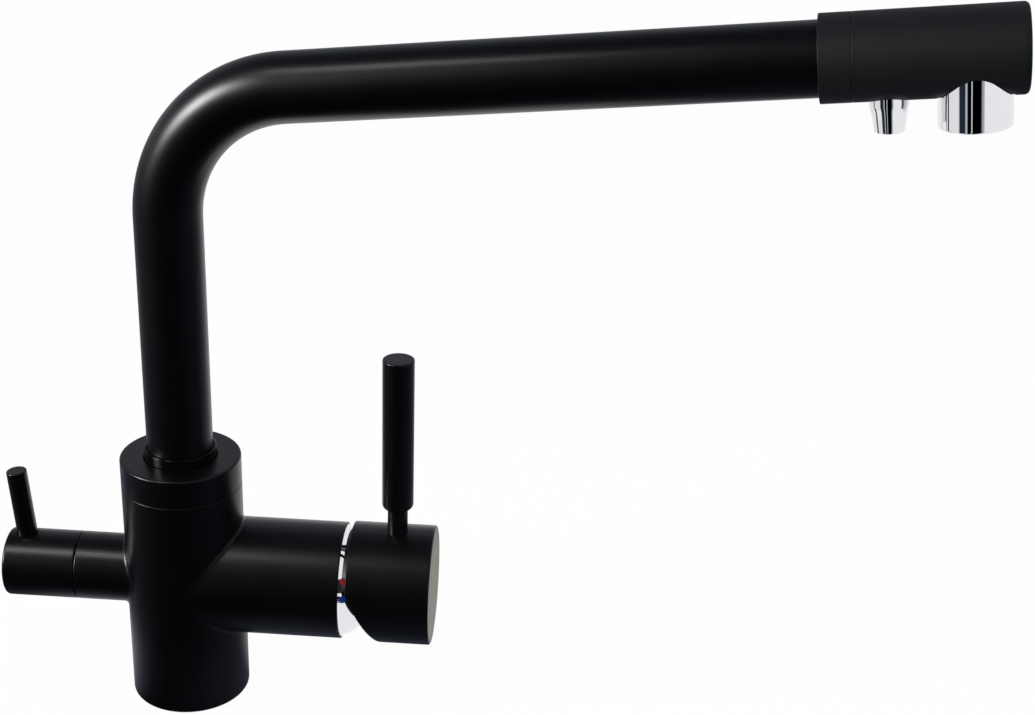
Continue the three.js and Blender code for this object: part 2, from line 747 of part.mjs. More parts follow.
function filterNozzle() {
  const flangeDepth = coreRadius + gap;
  const top = shankTop + gap;
  const way = filterWayRadius + slack;
  return turned([
    [way, top], [nozzleShankRadius, top], [nozzleShankRadius, flangeDepth],
    [nozzleTopRadius, flangeDepth], [nozzleTopRadius, headRadius + nozzleTopLength],
    [nozzleWaistRadius, headRadius + nozzleWaistLength], [nozzleTipRadius, nozzleReach],
    [nozzleBore, nozzleReach], [nozzleBore, headRadius], [way, headRadius], [way, top],
  ], midSides);
}

const filterNozzleOring = () => oring(nozzleShankRadius + gap, nozzleSealSection,
  coreRadius - nozzleSealSection / 2, smallSides);

function flowStraightener() {
  const low = nozzleReach - straightenerSetback;
  return pierced(nozzleBore - gap, low - straightenerHeight, low, straightenerHoles,
    straightenerHoleRadius);
}

// ---- Mixer side, in its own frame --------------------------------------------------------
const cartridgeFoot = cartridgeSeat + gap;
const baseTop = cartridgeFoot + cartridgeBaseHeight;
const housingFoot = baseTop + gap;
const movingDiscFoot = housingFoot + ceramicHeight + gap;
const carrierFoot = movingDiscFoot + ceramicHeight + gap;
const turretFoot = carrierFoot + carrierHeight + gap;
const turretFlangeTop = turretFoot + turretFlangeHeight;
const stemBall = carrierFoot + carrierHeight - stemBallSink;
const tiltPivot = stemBall + stemBallArm;
const turretEnd = tiltPivot + turretRise;
const housingBore = cartridgeRadius - cartridgeWall;
const turretFlangeRadius = housingBore - turretRoom;
const movingDiscRadius = turretFlangeRadius - movingDiscOffset;
const housingTop = turretFlangeTop + gap + cartridgeLid;
const neckRadius = turretRadius + gap + neckWall;
const neckEnd = turretEnd - neckSetback;
const nutFoot = housingTop + gap;
const barrelEnd = tiltPivot + barrelReach;
const handleMouth = barrelEnd + handleMouthGap;
const handleEnd = handleMouth + handleLength;
const leverPlace = handleMouth + leverSetback;
const stemEndStep = turretEnd + stemStep;
const stemEnd = handleEnd - stemEndDepth;

const mixerPorts = [
  [mixedPortOffset, 0], [-inletPortOffset, inletPortSpread], [-inletPortOffset, -inletPortSpread],
];

function portHoles(low, high, radius) {
  return mixerPorts.map(([x, y]) => solid(drill([x, y, low], [x, y, high], radius)));
}

function cartridgeBase() {
  const foot = cartridgeFoot - cutPast;
  return cut(
    solid(rod(cartridgeRadius, cartridgeFoot, baseTop)),
    ...portHoles(foot, baseTop + cutPast, basePortRadius),
    ...portHoles(foot, cartridgeFoot + portSealHeight + gap, portSealRadius + gap),
  );
}

function portSeal([x, y]) {
  return ring(portSealRadius, inletWayRadius, cartridgeFoot, cartridgeFoot + portSealHeight,
    smallSides).translate(x, y, 0);
}

function cartridgeHousing() {
  const ledge = turretFlangeTop + gap;
  const bore = turretRadius + gap;
  return turned([
    [housingBore, housingFoot], [cartridgeRadius, housingFoot],
    [cartridgeRadius, housingTop], [neckRadius, housingTop],
    [neckRadius, neckEnd], [bore, neckEnd], [bore, ledge],
    [housingBore, ledge], [housingBore, housingFoot],
  ], innerSides);
}

function fixedDisc() {
  const top = housingFoot + ceramicHeight;
  return cut(
    solid(rod(housingBore - gap, housingFoot, top)),
    ...portHoles(housingFoot - cutPast, top + cutPast, discPortRadius),
  );
}

function movingDisc() {
  const low = movingDiscFoot;
  const middle = low + ceramicHeight / 2;
  const disc = rod(movingDiscRadius, low, low + ceramicHeight);
  const pocket = rod(discPocketRadius, low - cutPast, middle, smallSides);
  return cut(...[disc, pocket].map((shape) => solid(shape.translate(-movingDiscOffset, 0, 0))));
}

function discCarrier() {
  const top = carrierFoot + carrierHeight;
  const room = stemBallRadius + gap;
  const socket = block([-room, -room, stemBall - room], [room, room, top + cutPast]);
  const plate = rod(movingDiscRadius, carrierFoot, top).translate(-movingDiscOffset, 0, 0);
  return cut(solid(plate), solid(socket));
}

function cartridgeTurret() {
  const tilt = radians(tiltDegrees);
  const half = stemShankHalfWidth + gap;
  const inward = tiltPivot - turretFoot;
  const outward = turretEnd - tiltPivot;
  const slot = block(
    [-outward * Math.tan(tilt) - half / Math.cos(tilt), -half, turretFoot - cutPast],
    [inward * Math.tan(tilt) + half / Math.cos(tilt), half, turretEnd + cutPast],
  );
  const reach = turretRadius + cutPast;
  const pinHole = drill([0, -reach, tiltPivot], [0, reach, tiltPivot],
    pivotPinRadius + gap, tinySides);
  const shaft = turned([
    [0, turretFoot], [turretFlangeRadius, turretFoot], [turretFlangeRadius, turretFlangeTop],
    [turretRadius, turretFlangeTop], [turretRadius, turretEnd], [0, turretEnd],
  ], innerSides);
  return cut(solid(shaft), solid(slot), solid(pinHole));
}

function stemPivotPin() {
  const reach = turretRadius - 2 * gap;
  return drill([0, -reach, tiltPivot], [0, reach, tiltPivot], pivotPinRadius, tinySides);
}

function cartridgeStem() {
  const [slim, wide] = [stemShankHalfWidth, stemHalfWidth];
  const reach = slim + cutPast;
  const pinHole = drill([0, -reach, tiltPivot], [0, reach, tiltPivot],
    pivotPinRadius + gap, tinySides);
  const shankFoot = stemBall + stemNeckLength;
  const ball = new THREE.SphereGeometry(stemBallRadius, tinySides, tinySides);
  const stem = join(
    solid(ball.translate(0, 0, stemBall)),
    solid(rod(stemNeckRadius, stemBall, shankFoot + cutPast, tinySides)),
    solid(block([-slim, -slim, shankFoot], [slim, slim, stemEndStep + cutPast])),
    solid(block([-wide, -wide, stemEndStep], [wide, wide, stemEnd])),
  );
  return cut(stem, solid(pinHole));
}

// The dome is open as far as the tipped stem's corners reach.
function domeEnd() {
  const inner = domeRadius - domeWall;
  const corner = Math.asin((stemHalfWidth * Math.SQRT2 + gap) / inner);
  return tiltPivot + inner * Math.cos(radians(tiltDegrees) + corner);
}

function cartridgeNut() {
  const top = nutFoot + nutHeight;
  const bore = neckRadius + gap;
  const middle = (bore + nutThreadRadius) / 2;
  const half = nutNotchWidth / 2;
  const notch = () => block([bore - cutPast, -half, top - nutNotchDepth],
    [middle, half, top + cutPast]);
  return cut(
    solid(ring(nutThreadRadius, bore, nutFoot, top)),
    ...around(nutNotches, notch).map(solid),
  );
}

function domeRing() {
  const seat = barrelEnd + gap;
  const skirtFoot = nutFoot + nutHeight + gap;
  const inner = domeRadius - domeWall;
  const shell = solid(turned([
    ...sphereArc(domeRadius, tiltPivot, seat, domeEnd(), 4),
    ...sphereArc(inner, tiltPivot, domeEnd(), seat - domeWall, 2),
    [nutThreadRadius - domeSkirtWall, skirtFoot], [nutThreadRadius, skirtFoot],
    [nutThreadRadius, seat], [rise(domeRadius, seat - tiltPivot), seat],
  ], largeSides));
  const holes = [hotDotDegrees, coldDotDegrees].map((angle) => dotRod(
    angle, indexDotRadius + gap, domeRadius - indexDotDepth - gap, domeRadius + cutPast,
  ));
  return cut(shell, ...holes.map(solid));
}

// A short rod on a line through the dome's centre, and the enamelled plug made from it.
function dotRod(degreesFromTop, radius, low, high) {
  const distance = barrelEnd + gap + indexDotRadius + indexDotMargin - tiltPivot;
  const lean = Math.asin(distance / domeRadius);
  return rod(radius, low, high, tinySides)
    .rotateY(Math.PI / 2 - lean)
    .rotateZ(radians(degreesFromTop))
    .translate(0, 0, tiltPivot);
}

const indexDot = (degreesFromTop) => dotRod(
  degreesFromTop, indexDotRadius, domeRadius - indexDotDepth, domeRadius - indexDotSink,
);

function mixerHandle() {
  const cavityRadius = domeRadius + 2 * gap;
  const past = handleRadius + cutPast;
  const mouth = handleMouth - cutPast;
  const slope = Math.tan(radians(handleReliefDegrees));
  const socket = stemHalfWidth + gap;
  const outside = solid(turned([
    [0, handleMouth], [handleRadius, handleMouth], [handleRadius, handleEnd - handleChamfer],
    [handleRadius - handleChamfer, handleEnd], [0, handleEnd],
  ], largeSides));
  const cavityTop = tiltPivot + cavityRadius;
  const cavity = solid(turned([
    [0, mouth], ...sphereArc(cavityRadius, tiltPivot, mouth, cavityTop, 6).slice(0, -1),
    [0, cavityTop],
  ], largeSides));
  // The wedge taken off below, so that the handle can tip.
  const wedge = new THREE.Shape();
  wedge.moveTo(handleReliefTop, mouth);
  wedge.lineTo(handleReliefTop, handleMouth);
  wedge.lineTo(-past, handleMouth + (handleReliefTop + past) * slope);
  wedge.lineTo(-past, mouth);
  const relief = new THREE.ExtrudeGeometry(wedge, { depth: 2 * past, bevelEnabled: false })
    .rotateX(Math.PI / 2).translate(0, past, 0);
  return cut(
    outside, cavity, solid(relief),
    solid(block([-socket, -socket, tiltPivot], [socket, socket, stemEnd + gap])),
    solid(drill([leverSeat, 0, leverPlace], [past, 0, leverPlace], leverNeckRadius + gap)),
    solid(drill([0, 0, leverPlace], [handleRadius, 0, leverPlace], leverStudRadius + gap,
      tinySides)),
  );
}

function leverRod() {
  const foot = leverSeat + gap;
  const studRoom = leverStudRadius + gap;
  const studTop = foot + leverStudInNeck + gap;
  return turned([
    [studRoom, foot], [leverNeckRadius, foot], [leverNeckRadius, leverNeckTop],
    [leverRadius - leverShoulder, leverNeckTop], [leverRadius, leverGripBottom],
    [leverRadius, leverTop - leverChamfer], [leverRadius - leverChamfer, leverTop],
    [0, leverTop], [0, studTop], [studRoom, studTop], [studRoom, foot],
  ], midSides).rotateY(Math.PI / 2).translate(0, 0, leverPlace);
}

function leverStud() {
  return drill([stemHalfWidth + gap, 0, leverPlace],
    [leverSeat + gap + leverStudInNeck, 0, leverPlace], leverStudRadius, tinySides);
}

// ---- Filter side, in its own frame -------------------------------------------------------
const filterDiscFoot = filterSeat + seatSealHeight + 2 * gap;
const filterMovingFoot = filterDiscFoot + filterDiscHeight + gap;
const spindleFoot = filterMovingFoot + filterDiscHeight + gap;
const plateTop = spindleFoot + spindlePlateHeight;
const discRoom = valveThreadRadius - valveWall;
const valveNeckEnd = filterBarrelEnd + valveNeckReach;
const knobStart = filterBarrelEnd + gap;
const knobEnd = knobStart + knobLength;
const knobCavityEnd = valveNeckEnd + knobCavityRoom;
const spindleEnd = knobEnd - knobFace;
const pinPlace = knobEnd - pinSetback;

function filterPorts(low, high) {
  return [-filterPortSpread, filterPortSpread]
    .map((y) => solid(drill([0, y, low], [0, y, high], filterWayRadius, tinySides)));
}

function filterSeatSeal() {
  const low = filterSeat + gap;
  const top = low + seatSealHeight;
  return cut(solid(rod(discRoom, low, top)), ...filterPorts(low - cutPast, top + cutPast));
}

function filterFixedDisc() {
  const top = filterDiscFoot + filterDiscHeight;
  return cut(
    solid(rod(discRoom - gap, filterDiscFoot, top)),
    ...filterPorts(filterDiscFoot - cutPast, top + cutPast),
  );
}

function filterMovingDisc() {
  const low = filterMovingFoot;
  const reach = filterPortSpread + filterWayRadius;
  const channel = block([-reach, -filterWayRadius, low - cutPast],
    [reach, filterWayRadius, low + filterDiscHeight / 2]);
  return cut(solid(rod(discRoom - gap, low, low + filterDiscHeight)), solid(channel));
}

function filterValveBody() {
  const bore = spindleRadius + gap;
  const flangeEnd = filterBarrelEnd - valveSetback;
  return turned([
    [discRoom, filterDiscFoot], [valveThreadRadius, filterDiscFoot],
    [valveThreadRadius, flangeEnd], [valveNeckRadius, flangeEnd],
    [valveNeckRadius, valveNeckEnd], [bore, valveNeckEnd], [bore, plateTop + gap],
    [discRoom, plateTop + gap], [discRoom, filterDiscFoot],
  ], innerSides);
}

const spindleRingPlace = (plateTop + gap + valveNeckEnd) / 2;
const clipFloor = spindleRadius - clipGroove;

function filterSpindle() {
  const clipLow = valveNeckEnd + gap;
  const clipHigh = clipLow + clipHeight + 2 * gap;
  const shaft = solid(turned([
    [0, spindleFoot], [discRoom - gap, spindleFoot], [discRoom - gap, plateTop],
    [spindleRadius, plateTop], [spindleRadius, clipLow], [clipFloor, clipLow],
    [clipFloor, clipHigh], [spindleRadius, clipHigh], [spindleRadius, spindleEnd],
    [0, spindleEnd],
  ], innerSides));
  return cut(shaft, groove(spindleRadius, spindleRingSection, spindleRingPlace));
}

const spindleOring = () => seatedRing(spindleRadius, spindleRingSection, spindleRingPlace,
  smallSides);

// A retaining clip, open on one side.
function spindleClip() {
  const low = valveNeckEnd + 2 * gap;
  const mouth = block([0, -spindleRadius / 2, low - cutPast],
    [clipRadius + cutPast, spindleRadius / 2, low + clipHeight + cutPast]);
  return cut(
    solid(ring(clipRadius, clipFloor + gap, low, low + clipHeight, smallSides)), solid(mouth),
  );
}

const leaning = (geometry) => geometry.rotateY(Math.PI / 2 - radians(pinLeanDegrees))
  .translate(0, 0, pinPlace);
const pinLine = (from, to, radius, sides) => leaning(rod(radius, from, to, sides));

function filterKnob() {
  const bore = spindleRadius + gap;
  const body = solid(turned([
    [bore, knobCavityEnd], [knobCavityRadius, knobCavityEnd], [knobCavityRadius, knobStart],
    [filterRadius, knobStart], [filterRadius, knobEnd - knobEdge],
    [filterRadius - roundShare * knobEdge, knobEnd - roundShare * knobEdge],
    [filterRadius - knobEdge, knobEnd], [0, knobEnd], [0, spindleEnd + gap],
    [bore, spindleEnd + gap], [bore, knobCavityEnd],
  ], largeSides));
  return cut(
    body,
    solid(pinLine(pinSeat, filterRadius + pinRadius, pinRadius + gap, midSides)),
    solid(pinLine(spindleRadius, filterRadius, pinTailRadius + gap, tinySides)),
  );
}

function filterPin() {
  const foot = pinSeat + gap;
  const tailFoot = spindleRadius + 2 * gap;
  return leaning(turned([
    [0, tailFoot], [pinTailRadius, tailFoot], [pinTailRadius, foot], [pinRadius, foot],
    [pinRadius, pinTop - pinChamfer], [pinRadius - pinChamfer, pinTop], [0, pinTop],
  ], midSides));
}

// ---- The tap -----------------------------------------------------------------------------
const [sealMixed, sealHot, sealCold] = mixerPorts.map(portSeal);
const [lowerOring, upperOring] = connectorRingHeights.map(connectorOring);

const mixer = group(
  mixerFrame,
  part('port_seal_mixed', sealMixed, 'rubber'),
  part('port_seal_hot', sealHot, 'rubber'),
  part('port_seal_cold', sealCold, 'rubber'),
  part('cartridge_base', cartridgeBase(), 'whiteAcetal'),
  part('cartridge_housing', cartridgeHousing(), 'whiteAcetal'),
  part('fixed_disc', fixedDisc(), 'ceramic'),
  part('moving_disc', movingDisc(), 'ceramic'),
  part('disc_carrier', discCarrier(), 'greyAcetal'),
  part('cartridge_turret', cartridgeTurret(), 'greyAcetal'),
  part('stem_pivot_pin', stemPivotPin(), 'steel'),
  part('cartridge_stem', cartridgeStem(), 'steel'),
  part('cartridge_nut', cartridgeNut(), 'brass'),
  part('dome_ring', domeRing(), 'chrome'),
  part('hot_index_dot', indexDot(hotDotDegrees), 'redMark'),
  part('cold_index_dot', indexDot(coldDotDegrees), 'blueMark'),
  part('mixer_handle', mixerHandle(), 'blackCoat'),
  part('lever_rod', leverRod(), 'blackCoat'),
  part('lever_stud', leverStud(), 'steel'),
);

const filter = group(
  filterFrame,
  part('filter_seat_seal', filterSeatSeal(), 'rubber'),
  part('filter_fixed_disc', filterFixedDisc(), 'ceramic'),
  part('filter_moving_disc', filterMovingDisc(), 'ceramic'),
  part('filter_valve_body', filterValveBody(), 'brass'),
  part('filter_spindle', filterSpindle(), 'brass'),
  part('spindle_oring', spindleOring(), 'rubber'),
  part('spindle_clip', spindleClip(), 'steel'),
  part('filter_knob', filterKnob(), 'blackCoat'),
  part('filter_pin', filterPin(), 'blackCoat'),
);

const aerator = group(
  outletFrame(aeratorPlace),
  part('aerator_housing', aeratorHousing(), 'chrome'),
  part('aerator_seal', aeratorSeal(), 'rubber'),
  part('aerator_insert', aeratorInsert(), 'greyAcetal'),
  part('aerator_grid', aeratorGrid(), 'greyAcetal'),
);

const filterOutlet = group(
  outletFrame(nozzlePlace),
  part('filter_nozzle', filterNozzle(), 'chrome'),
  part('filter_nozzle_oring', filterNozzleOring(), 'rubber'),
  part('flow_straightener', flowStraightener(), 'greyAcetal'),
);

const upperSleeve = part('hose_sleeve_upper', hoseSleeve(), 'steel');
upperSleeve.position.z = hoseEnd - sleeveLength - sleeveSetback;

const head = group(
  headFrame,
  part('head_adaptor', headAdaptor(), 'headCoat'),
  part('head_shell', headShell(), 'headCoat'),
  part('head_core', headCore(), 'brass'),
  part('head_seal', headSeal(), 'rubber'),
  upperSleeve, aerator, filterOutlet,
);

const lowerSleeve = part('hose_sleeve_lower', hoseSleeve(), 'steel');
lowerSleeve.position.z = hoseFoot + sleeveSetback;

const spout = group(
  spoutFrame,
  part('spout_connector', spoutConnector(), 'brass'),
  part('connector_oring_lower', lowerOring, 'rubber'),
  part('connector_oring_upper', upperOring, 'rubber'),
  part('filter_port_oring', filterPortOring(), 'rubber'),
  part('spout_tube', spoutTube(), 'blackCoat'),
  part('filter_hose', filterHose(), 'hose'),
  lowerSleeve, head,
);

const tap = group(
  null,
  part('main_body', mainBody(), 'blackCoat'),
  part('base_seal', baseSeal(), 'rubber'),
  part('spout_collar', spoutCollar(), 'blackCoat'),
  part('spout_bush', spoutBush(), 'glossBlack'),
  part('slip_ring_lower', slipRing(ledgeHeight + gap), 'whiteAcetal'),
  part('slip_ring_upper', slipRing(flangeTop + gap), 'whiteAcetal'),
  spout, mixer, filter,
);
tap.name = 'three_way_filtered_water_tap';

export default tap;
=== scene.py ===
"""Three way filtered water tap: its visible pieces and finishes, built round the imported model."""

import json
import math

import bmesh
import bpy
from bpy.props import FloatProperty, FloatVectorProperty, IntProperty, PointerProperty
from mathutils import Matrix, Vector


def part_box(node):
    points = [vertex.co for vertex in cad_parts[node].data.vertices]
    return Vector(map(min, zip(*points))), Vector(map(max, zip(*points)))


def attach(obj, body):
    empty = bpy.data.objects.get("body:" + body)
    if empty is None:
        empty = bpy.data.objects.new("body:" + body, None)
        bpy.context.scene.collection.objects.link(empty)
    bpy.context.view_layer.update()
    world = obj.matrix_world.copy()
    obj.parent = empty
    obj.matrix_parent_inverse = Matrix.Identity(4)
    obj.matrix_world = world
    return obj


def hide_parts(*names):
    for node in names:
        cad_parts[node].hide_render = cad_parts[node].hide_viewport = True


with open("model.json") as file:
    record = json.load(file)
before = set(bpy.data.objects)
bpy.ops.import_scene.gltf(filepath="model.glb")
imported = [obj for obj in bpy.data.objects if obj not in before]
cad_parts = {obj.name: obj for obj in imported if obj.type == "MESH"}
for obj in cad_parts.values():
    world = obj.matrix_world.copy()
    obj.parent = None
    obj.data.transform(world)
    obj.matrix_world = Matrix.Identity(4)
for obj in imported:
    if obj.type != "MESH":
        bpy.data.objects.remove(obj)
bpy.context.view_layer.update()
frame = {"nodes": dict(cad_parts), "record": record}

bl_info = {
    "name": "Three way filtered water tap",
    "version": (1, 0, 0),
    "blender": (4, 5, 0),
    "location": "3D View > Sidebar > Tap",
    "description": "Builds a black kitchen tap with a mixer lever, a filter knob and two outlets",
    "category": "Add Mesh",
}

MM = 0.001
GAP = 0.3 * MM  # round what turns
SEAM = 0.04 * MM  # between outer faces that are screwed together
FAR = 1 * MM  # how far a cutting tool runs past the face that it opens
HAIR = 0.02 * MM  # how near a place counts as the same
MERGE = MM / 1000  # how near two corners are made one
THIN_EDGE = 0.25 * MM  # rounding of a rim that only has to lose its burr
SMOOTH_ANGLE = math.radians(32)  # faces that meet at less are shaded as one
CREASE_ANGLE = math.radians(14)  # where a barrel and the column meet at more, there is a fillet


def low(node, axis):
    """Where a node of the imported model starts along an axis."""
    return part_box(node)[0]["xyz".index(axis)]


def high(node, axis):
    """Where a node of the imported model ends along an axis."""
    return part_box(node)[1]["xyz".index(axis)]


def linear(text):
    """An sRGB hex colour as linear red, green and blue."""
    shares = [int(text[i:i + 2], 16) / 255 for i in (1, 3, 5)]
    return tuple(s / 12.92 if s <= 0.04045 else ((s + 0.055) / 1.055) ** 2.4 for s in shares)


def length(name, description, default):
    return FloatProperty(
        name=name, description=description, default=default, unit="LENGTH", precision=5)


def angle(name, description, degrees):
    return FloatProperty(
        name=name, description=description, default=math.radians(degrees), unit="ROTATION")


def colour(name, description, text):
    return FloatVectorProperty(
        name=name, description=description, default=linear(text), subtype="COLOR", size=3,
        min=0, max=1)


class TapBodySizes(bpy.types.PropertyGroup):
    """Sizes of the cast body, its collar and the ring round the spout's foot."""

    radius: length("Column radius", "Of the column and its collar", high("main_body", "y"))
    height: length("Seam height", "Where the collar sits on the column", high("main_body", "z"))
    arm_height: length("Arm height", "Of the axis of both side barrels", 52 * MM)
    foot_edge: length("Foot edge", "Rounding of the foot", 1.4 * MM)
    seam_edge: length("Seam edge", "Rounding on both sides of a seam", 0.25 * MM)
    knob_groove: length("Knob groove", "Rounding on both sides of the knob's seam", 0.5 * MM)
    fillet: length("Fillet", "Where the barrels meet the column", 1.4 * MM)
    barrel_radius: length("Mixer barrel radius", "Of the wide barrel", 22.8 * MM)
    barrel_end: length("Mixer barrel end", "From the column's axis", high("main_body", "x"))
    filter_radius: length("Filter barrel radius", "Of the slim barrel", high("filter_knob", "y"))
    filter_end: length("Filter barrel end", "From the column's axis", -low("main_body", "x"))
    cartridge_seat: length("Cartridge seat", "Floor of the mixer's bore", 27 * MM)
    cartridge_bore: length("Cartridge bore", "Radius of the bore for the cartridge", 17.8 * MM)
    nut_seat: length("Nut seat", "Where the bore widens for the nut", 51.3 * MM)
    nut_bore: length("Nut bore", "Radius of the bore's mouth", 19.8 * MM)
    valve_seat: length("Valve seat", "Floor of the filter valve's bore", 24 * MM)
    valve_bore: length("Valve bore", "Radius of the filter valve's bore", 9.9 * MM)
    hose_room: length("Hose room", "Radius of the hollow under the foot", 16.5 * MM)
    hose_depth: length("Hose room's height", "From the worktop", 20 * MM)
    socket_depth: length("Socket depth", "Of the sockets for hoses and stud", 12 * MM)
    hose_socket: length("Hose socket", "Radius of an M10 socket", 5 * MM)
    stud_socket: length("Stud socket", "Radius of the M8 socket", 4 * MM)
    groove_depth: length("Seal groove", "Depth of the groove in the foot", 2.1 * MM)
    collar_top: length("Collar top", "Height of the collar", high("spout_collar", "z"))
    collar_foot: length("Collar foot", "Lower end of its thread", low("spout_collar", "z"))
    collar_thread: length("Collar thread", "Radius of its threaded part", 19.4 * MM)
    collar_ledge: length("Collar ledge", "Thickness of its lower ledge", 1.5 * MM)
    collar_edge: length("Collar edge", "Rounding of its upper rim", 0.8 * MM)
    bush_radius: length("Bush radius", "Outside of the spout's ring", high("spout_bush", "y"))
    bush_wall: length("Bush wall", "Thickness of that ring", 0.9 * MM)
    bush_top: length("Bush top", "Height of that ring", high("spout_bush", "z"))
    bush_foot: length("Bush foot", "Its lower end", low("spout_bush", "z"))


class TapSpoutSizes(bpy.types.PropertyGroup):
    """Sizes of the spout's tube and of its head, which are measured along the arm."""

    radius: length("Tube radius", "Outside of the spout's tube", 12.5 * MM)
    wall: length("Tube wall", "Thickness of the tube", 1.2 * MM)
    foot: length("Tube foot", "Its lower end, in the column", low("spout_tube", "z"))
    height: length("Spout height", "Where the arm's axis crosses the column's", 245 * MM)
    bend: length("Bend radius", "Of the tube's middle line", 52 * MM)
    tube_end: length("Tube end", "Its end inside the head", 232.8 * MM)
    rise: angle("Rise", "How far the arm climbs towards its head", 7.8)
    turn: angle("Turn", "How the spout stands at rest, from +X", -8)
    head_start: length("Head start", "From the column's axis", 226.6 * MM)
    head_seam: length("Head seam", "Where the adaptor meets the shell", 237.0 * MM)
    head_end: length("Head end", "From the column's axis", 291.5 * MM)
    head_radius: length("Head radius", "Of the adaptor and the shell", 14.45 * MM)
    head_wall: length("Head wall", "Thickness of the shell", 1.9 * MM)
    head_edge: length("Head edge", "Rounding of the shell's far end", 1.7 * MM)
    adaptor_web: length("Adaptor web", "Thickness of its inner shoulder", 3.9 * MM)
    mixed_place: length("Mixed outlet", "Of the wide outlet, along the arm", 275.2 * MM)
    mixed_radius: length("Mixed outlet radius", "Of its housing", 11.9 * MM)
    mixed_reach: length("Mixed outlet reach", "From the arm's axis down", 24.1 * MM)
    mixed_top: length("Housing top", "Where the housing starts in the head", 5 * MM)
    mixed_wall: length("Housing wall", "Thickness of the housing", 1.8 * MM)
    mixed_recess: length("Recess", "Ring of air round the housing", 1 * MM)
    grid_depth: length("Grid depth", "Thickness of the outlet's grid", 3 * MM)
    filter_place: length("Filter outlet", "Of the slim outlet, along the arm", 248.3 * MM)
    filter_reach: length("Filter outlet reach", "From the arm's axis down", 24.8 * MM)
    filter_top: length("Nozzle top radius", "Where it leaves the shell", 6.45 * MM)
    filter_waist: length("Nozzle waist radius", "Below its shoulder", 5.65 * MM)
    filter_tip: length("Nozzle tip radius", "At its lower end", 5 * MM)
    filter_bore: length("Nozzle bore", "Inside of its tip", 3.7 * MM)


class TapMixerSizes(bpy.types.PropertyGroup):
    """Sizes of the mixer's dome, handle and lever, measured from the column's axis."""

    pivot: length("Pivot", "Of the handle's tilt", 55 * MM)
    dome: length("Dome radius", "A sphere about the pivot", 23.5 * MM)
    dome_wall: length("Dome wall", "Thickness of the dome", 1.3 * MM)
    dome_end: length("Dome end", "Its rim, in the handle", high("dome_ring", "x"))
    dome_foot: length("Dome foot", "Its lower end, in the barrel", low("dome_ring", "x"))
    dome_skirt: length("Dome skirt", "Radius of its lower part", 19.4 * MM)
    dot: length("Index dot", "Radius of a dot", 1.4 * MM)
    dot_reach: length("Dot reach", "From the barrel's end to a dot's middle", 2.2 * MM)
    dot_depth: length("Dot depth", "How deep a dot's plug sits", 0.8 * MM)
    hot: angle("Hot dot", "From the top, towards the front", 61)
    cold: angle("Cold dot", "From the top, towards the front", 79.5)
    radius: length("Handle radius", "Of the round handle", high("mixer_handle", "y"))
    mouth: length("Handle mouth", "Its open end", low("mixer_handle", "x"))
    end: length("Handle end", "Its closed end", high("mixer_handle", "x"))
    edge: length("Handle edge", "Rounding of its closed end", 0.8 * MM)
    relief_top: length("Relief top", "Where the slanted face starts, above the axis", 6.3 * MM)
    relief: angle("Relief", "Slant of the face that lets the handle tip", 25.6)
    lever: length("Lever", "Place of the lever's axis", 83.8 * MM)
    lever_seat: length("Lever seat", "Foot of the lever, above the handle's axis", 20.3 * MM)
    neck: length("Neck radius", "Of the lever's thin part", 3.9 * MM)
    neck_top: length("Neck top", "Above the handle's axis", 33.9 * MM)
    grip: length("Grip radius", "Of the lever's thick part", high("lever_rod", "y"))
    grip_edge: length("Grip edge", "Rounding of its lower end", 1.9 * MM)
    lever_top: length("Lever top", "Height of the lever", high("lever_rod", "z"))
    tip_edge: length("Tip edge", "Rounding of its upper end", 0.6 * MM)


class TapFilterSizes(bpy.types.PropertyGroup):
    """Sizes of the filter knob and its pin, measured from the column's axis."""

    start: length("Knob start", "At the barrel's seam", -high("filter_knob", "x"))
    end: length("Knob end", "Its closed end", -low("filter_knob", "x"))
    edge: length("Knob edge", "Rounding of its closed end", 1.1 * MM)
    cavity: length("Knob cavity", "Radius of its hollow", 10.2 * MM)
    cavity_end: length("Knob cavity end", "Floor of its hollow", 48.5 * MM)
    spindle: length("Spindle bore", "Radius of its bore", 4.5 * MM)
    spindle_end: length("Spindle bore end", "Floor of its bore", 66.3 * MM)
    pin: length("Pin place", "Where the pin's line meets the knob's axis", 61.6 * MM)
    pin_radius: length("Pin radius", "Of the pin", 3.9 * MM)
    pin_seat: length("Pin seat", "Floor of its hole, above the axis", 9 * MM)
    pin_tail: length("Pin tail", "Radius of the pin's thin end", 2.4 * MM)
    pin_foot: length("Pin foot", "End of its thin part, above the axis", 4.8 * MM)
    pin_top: length("Pin top", "Upper end of the pin, above the axis", 40.6 * MM)
    pin_edge: length("Pin edge", "Rounding of its upper end", 0.5 * MM)
    lean: angle("Pin lean", "How far the pin leans outwards", 4.6)


class TapFinishes(bpy.types.PropertyGroup):
    """Colours of the finishes."""

    coat: colour("Black coat", "Matte black powder coat on the metal", "#020203")
    head: colour("Head", "Black moulded plastic of the spout's head", "#101215")
    gloss: colour("Gloss black", "Polished black ring round the spout", "#060607")
    chrome: colour("Chrome", "Of both outlets and the dome", "#e4e5e8")
    brass: colour("Brass", "Turned brass inside", "#c29a52")
    steel: colour("Steel", "Stainless steel inside", "#a9abad")
    rubber: colour("Rubber", "Black seals", "#1b1b1b")
    ceramic: colour("Ceramic", "Ground discs", "#ece7dc")
    white: colour("White acetal", "Cartridge and slip rings", "#e6e4de")
    grey: colour("Grey acetal", "Cartridge's moving parts and outlet grids", "#7b7d80")
    hose: colour("Hose", "Hose for filtered water", "#dde2e2")
    hot: colour("Hot mark", "Red enamel", "#b8241a")
    cold: colour("Cold mark", "Blue enamel", "#1c3da8")


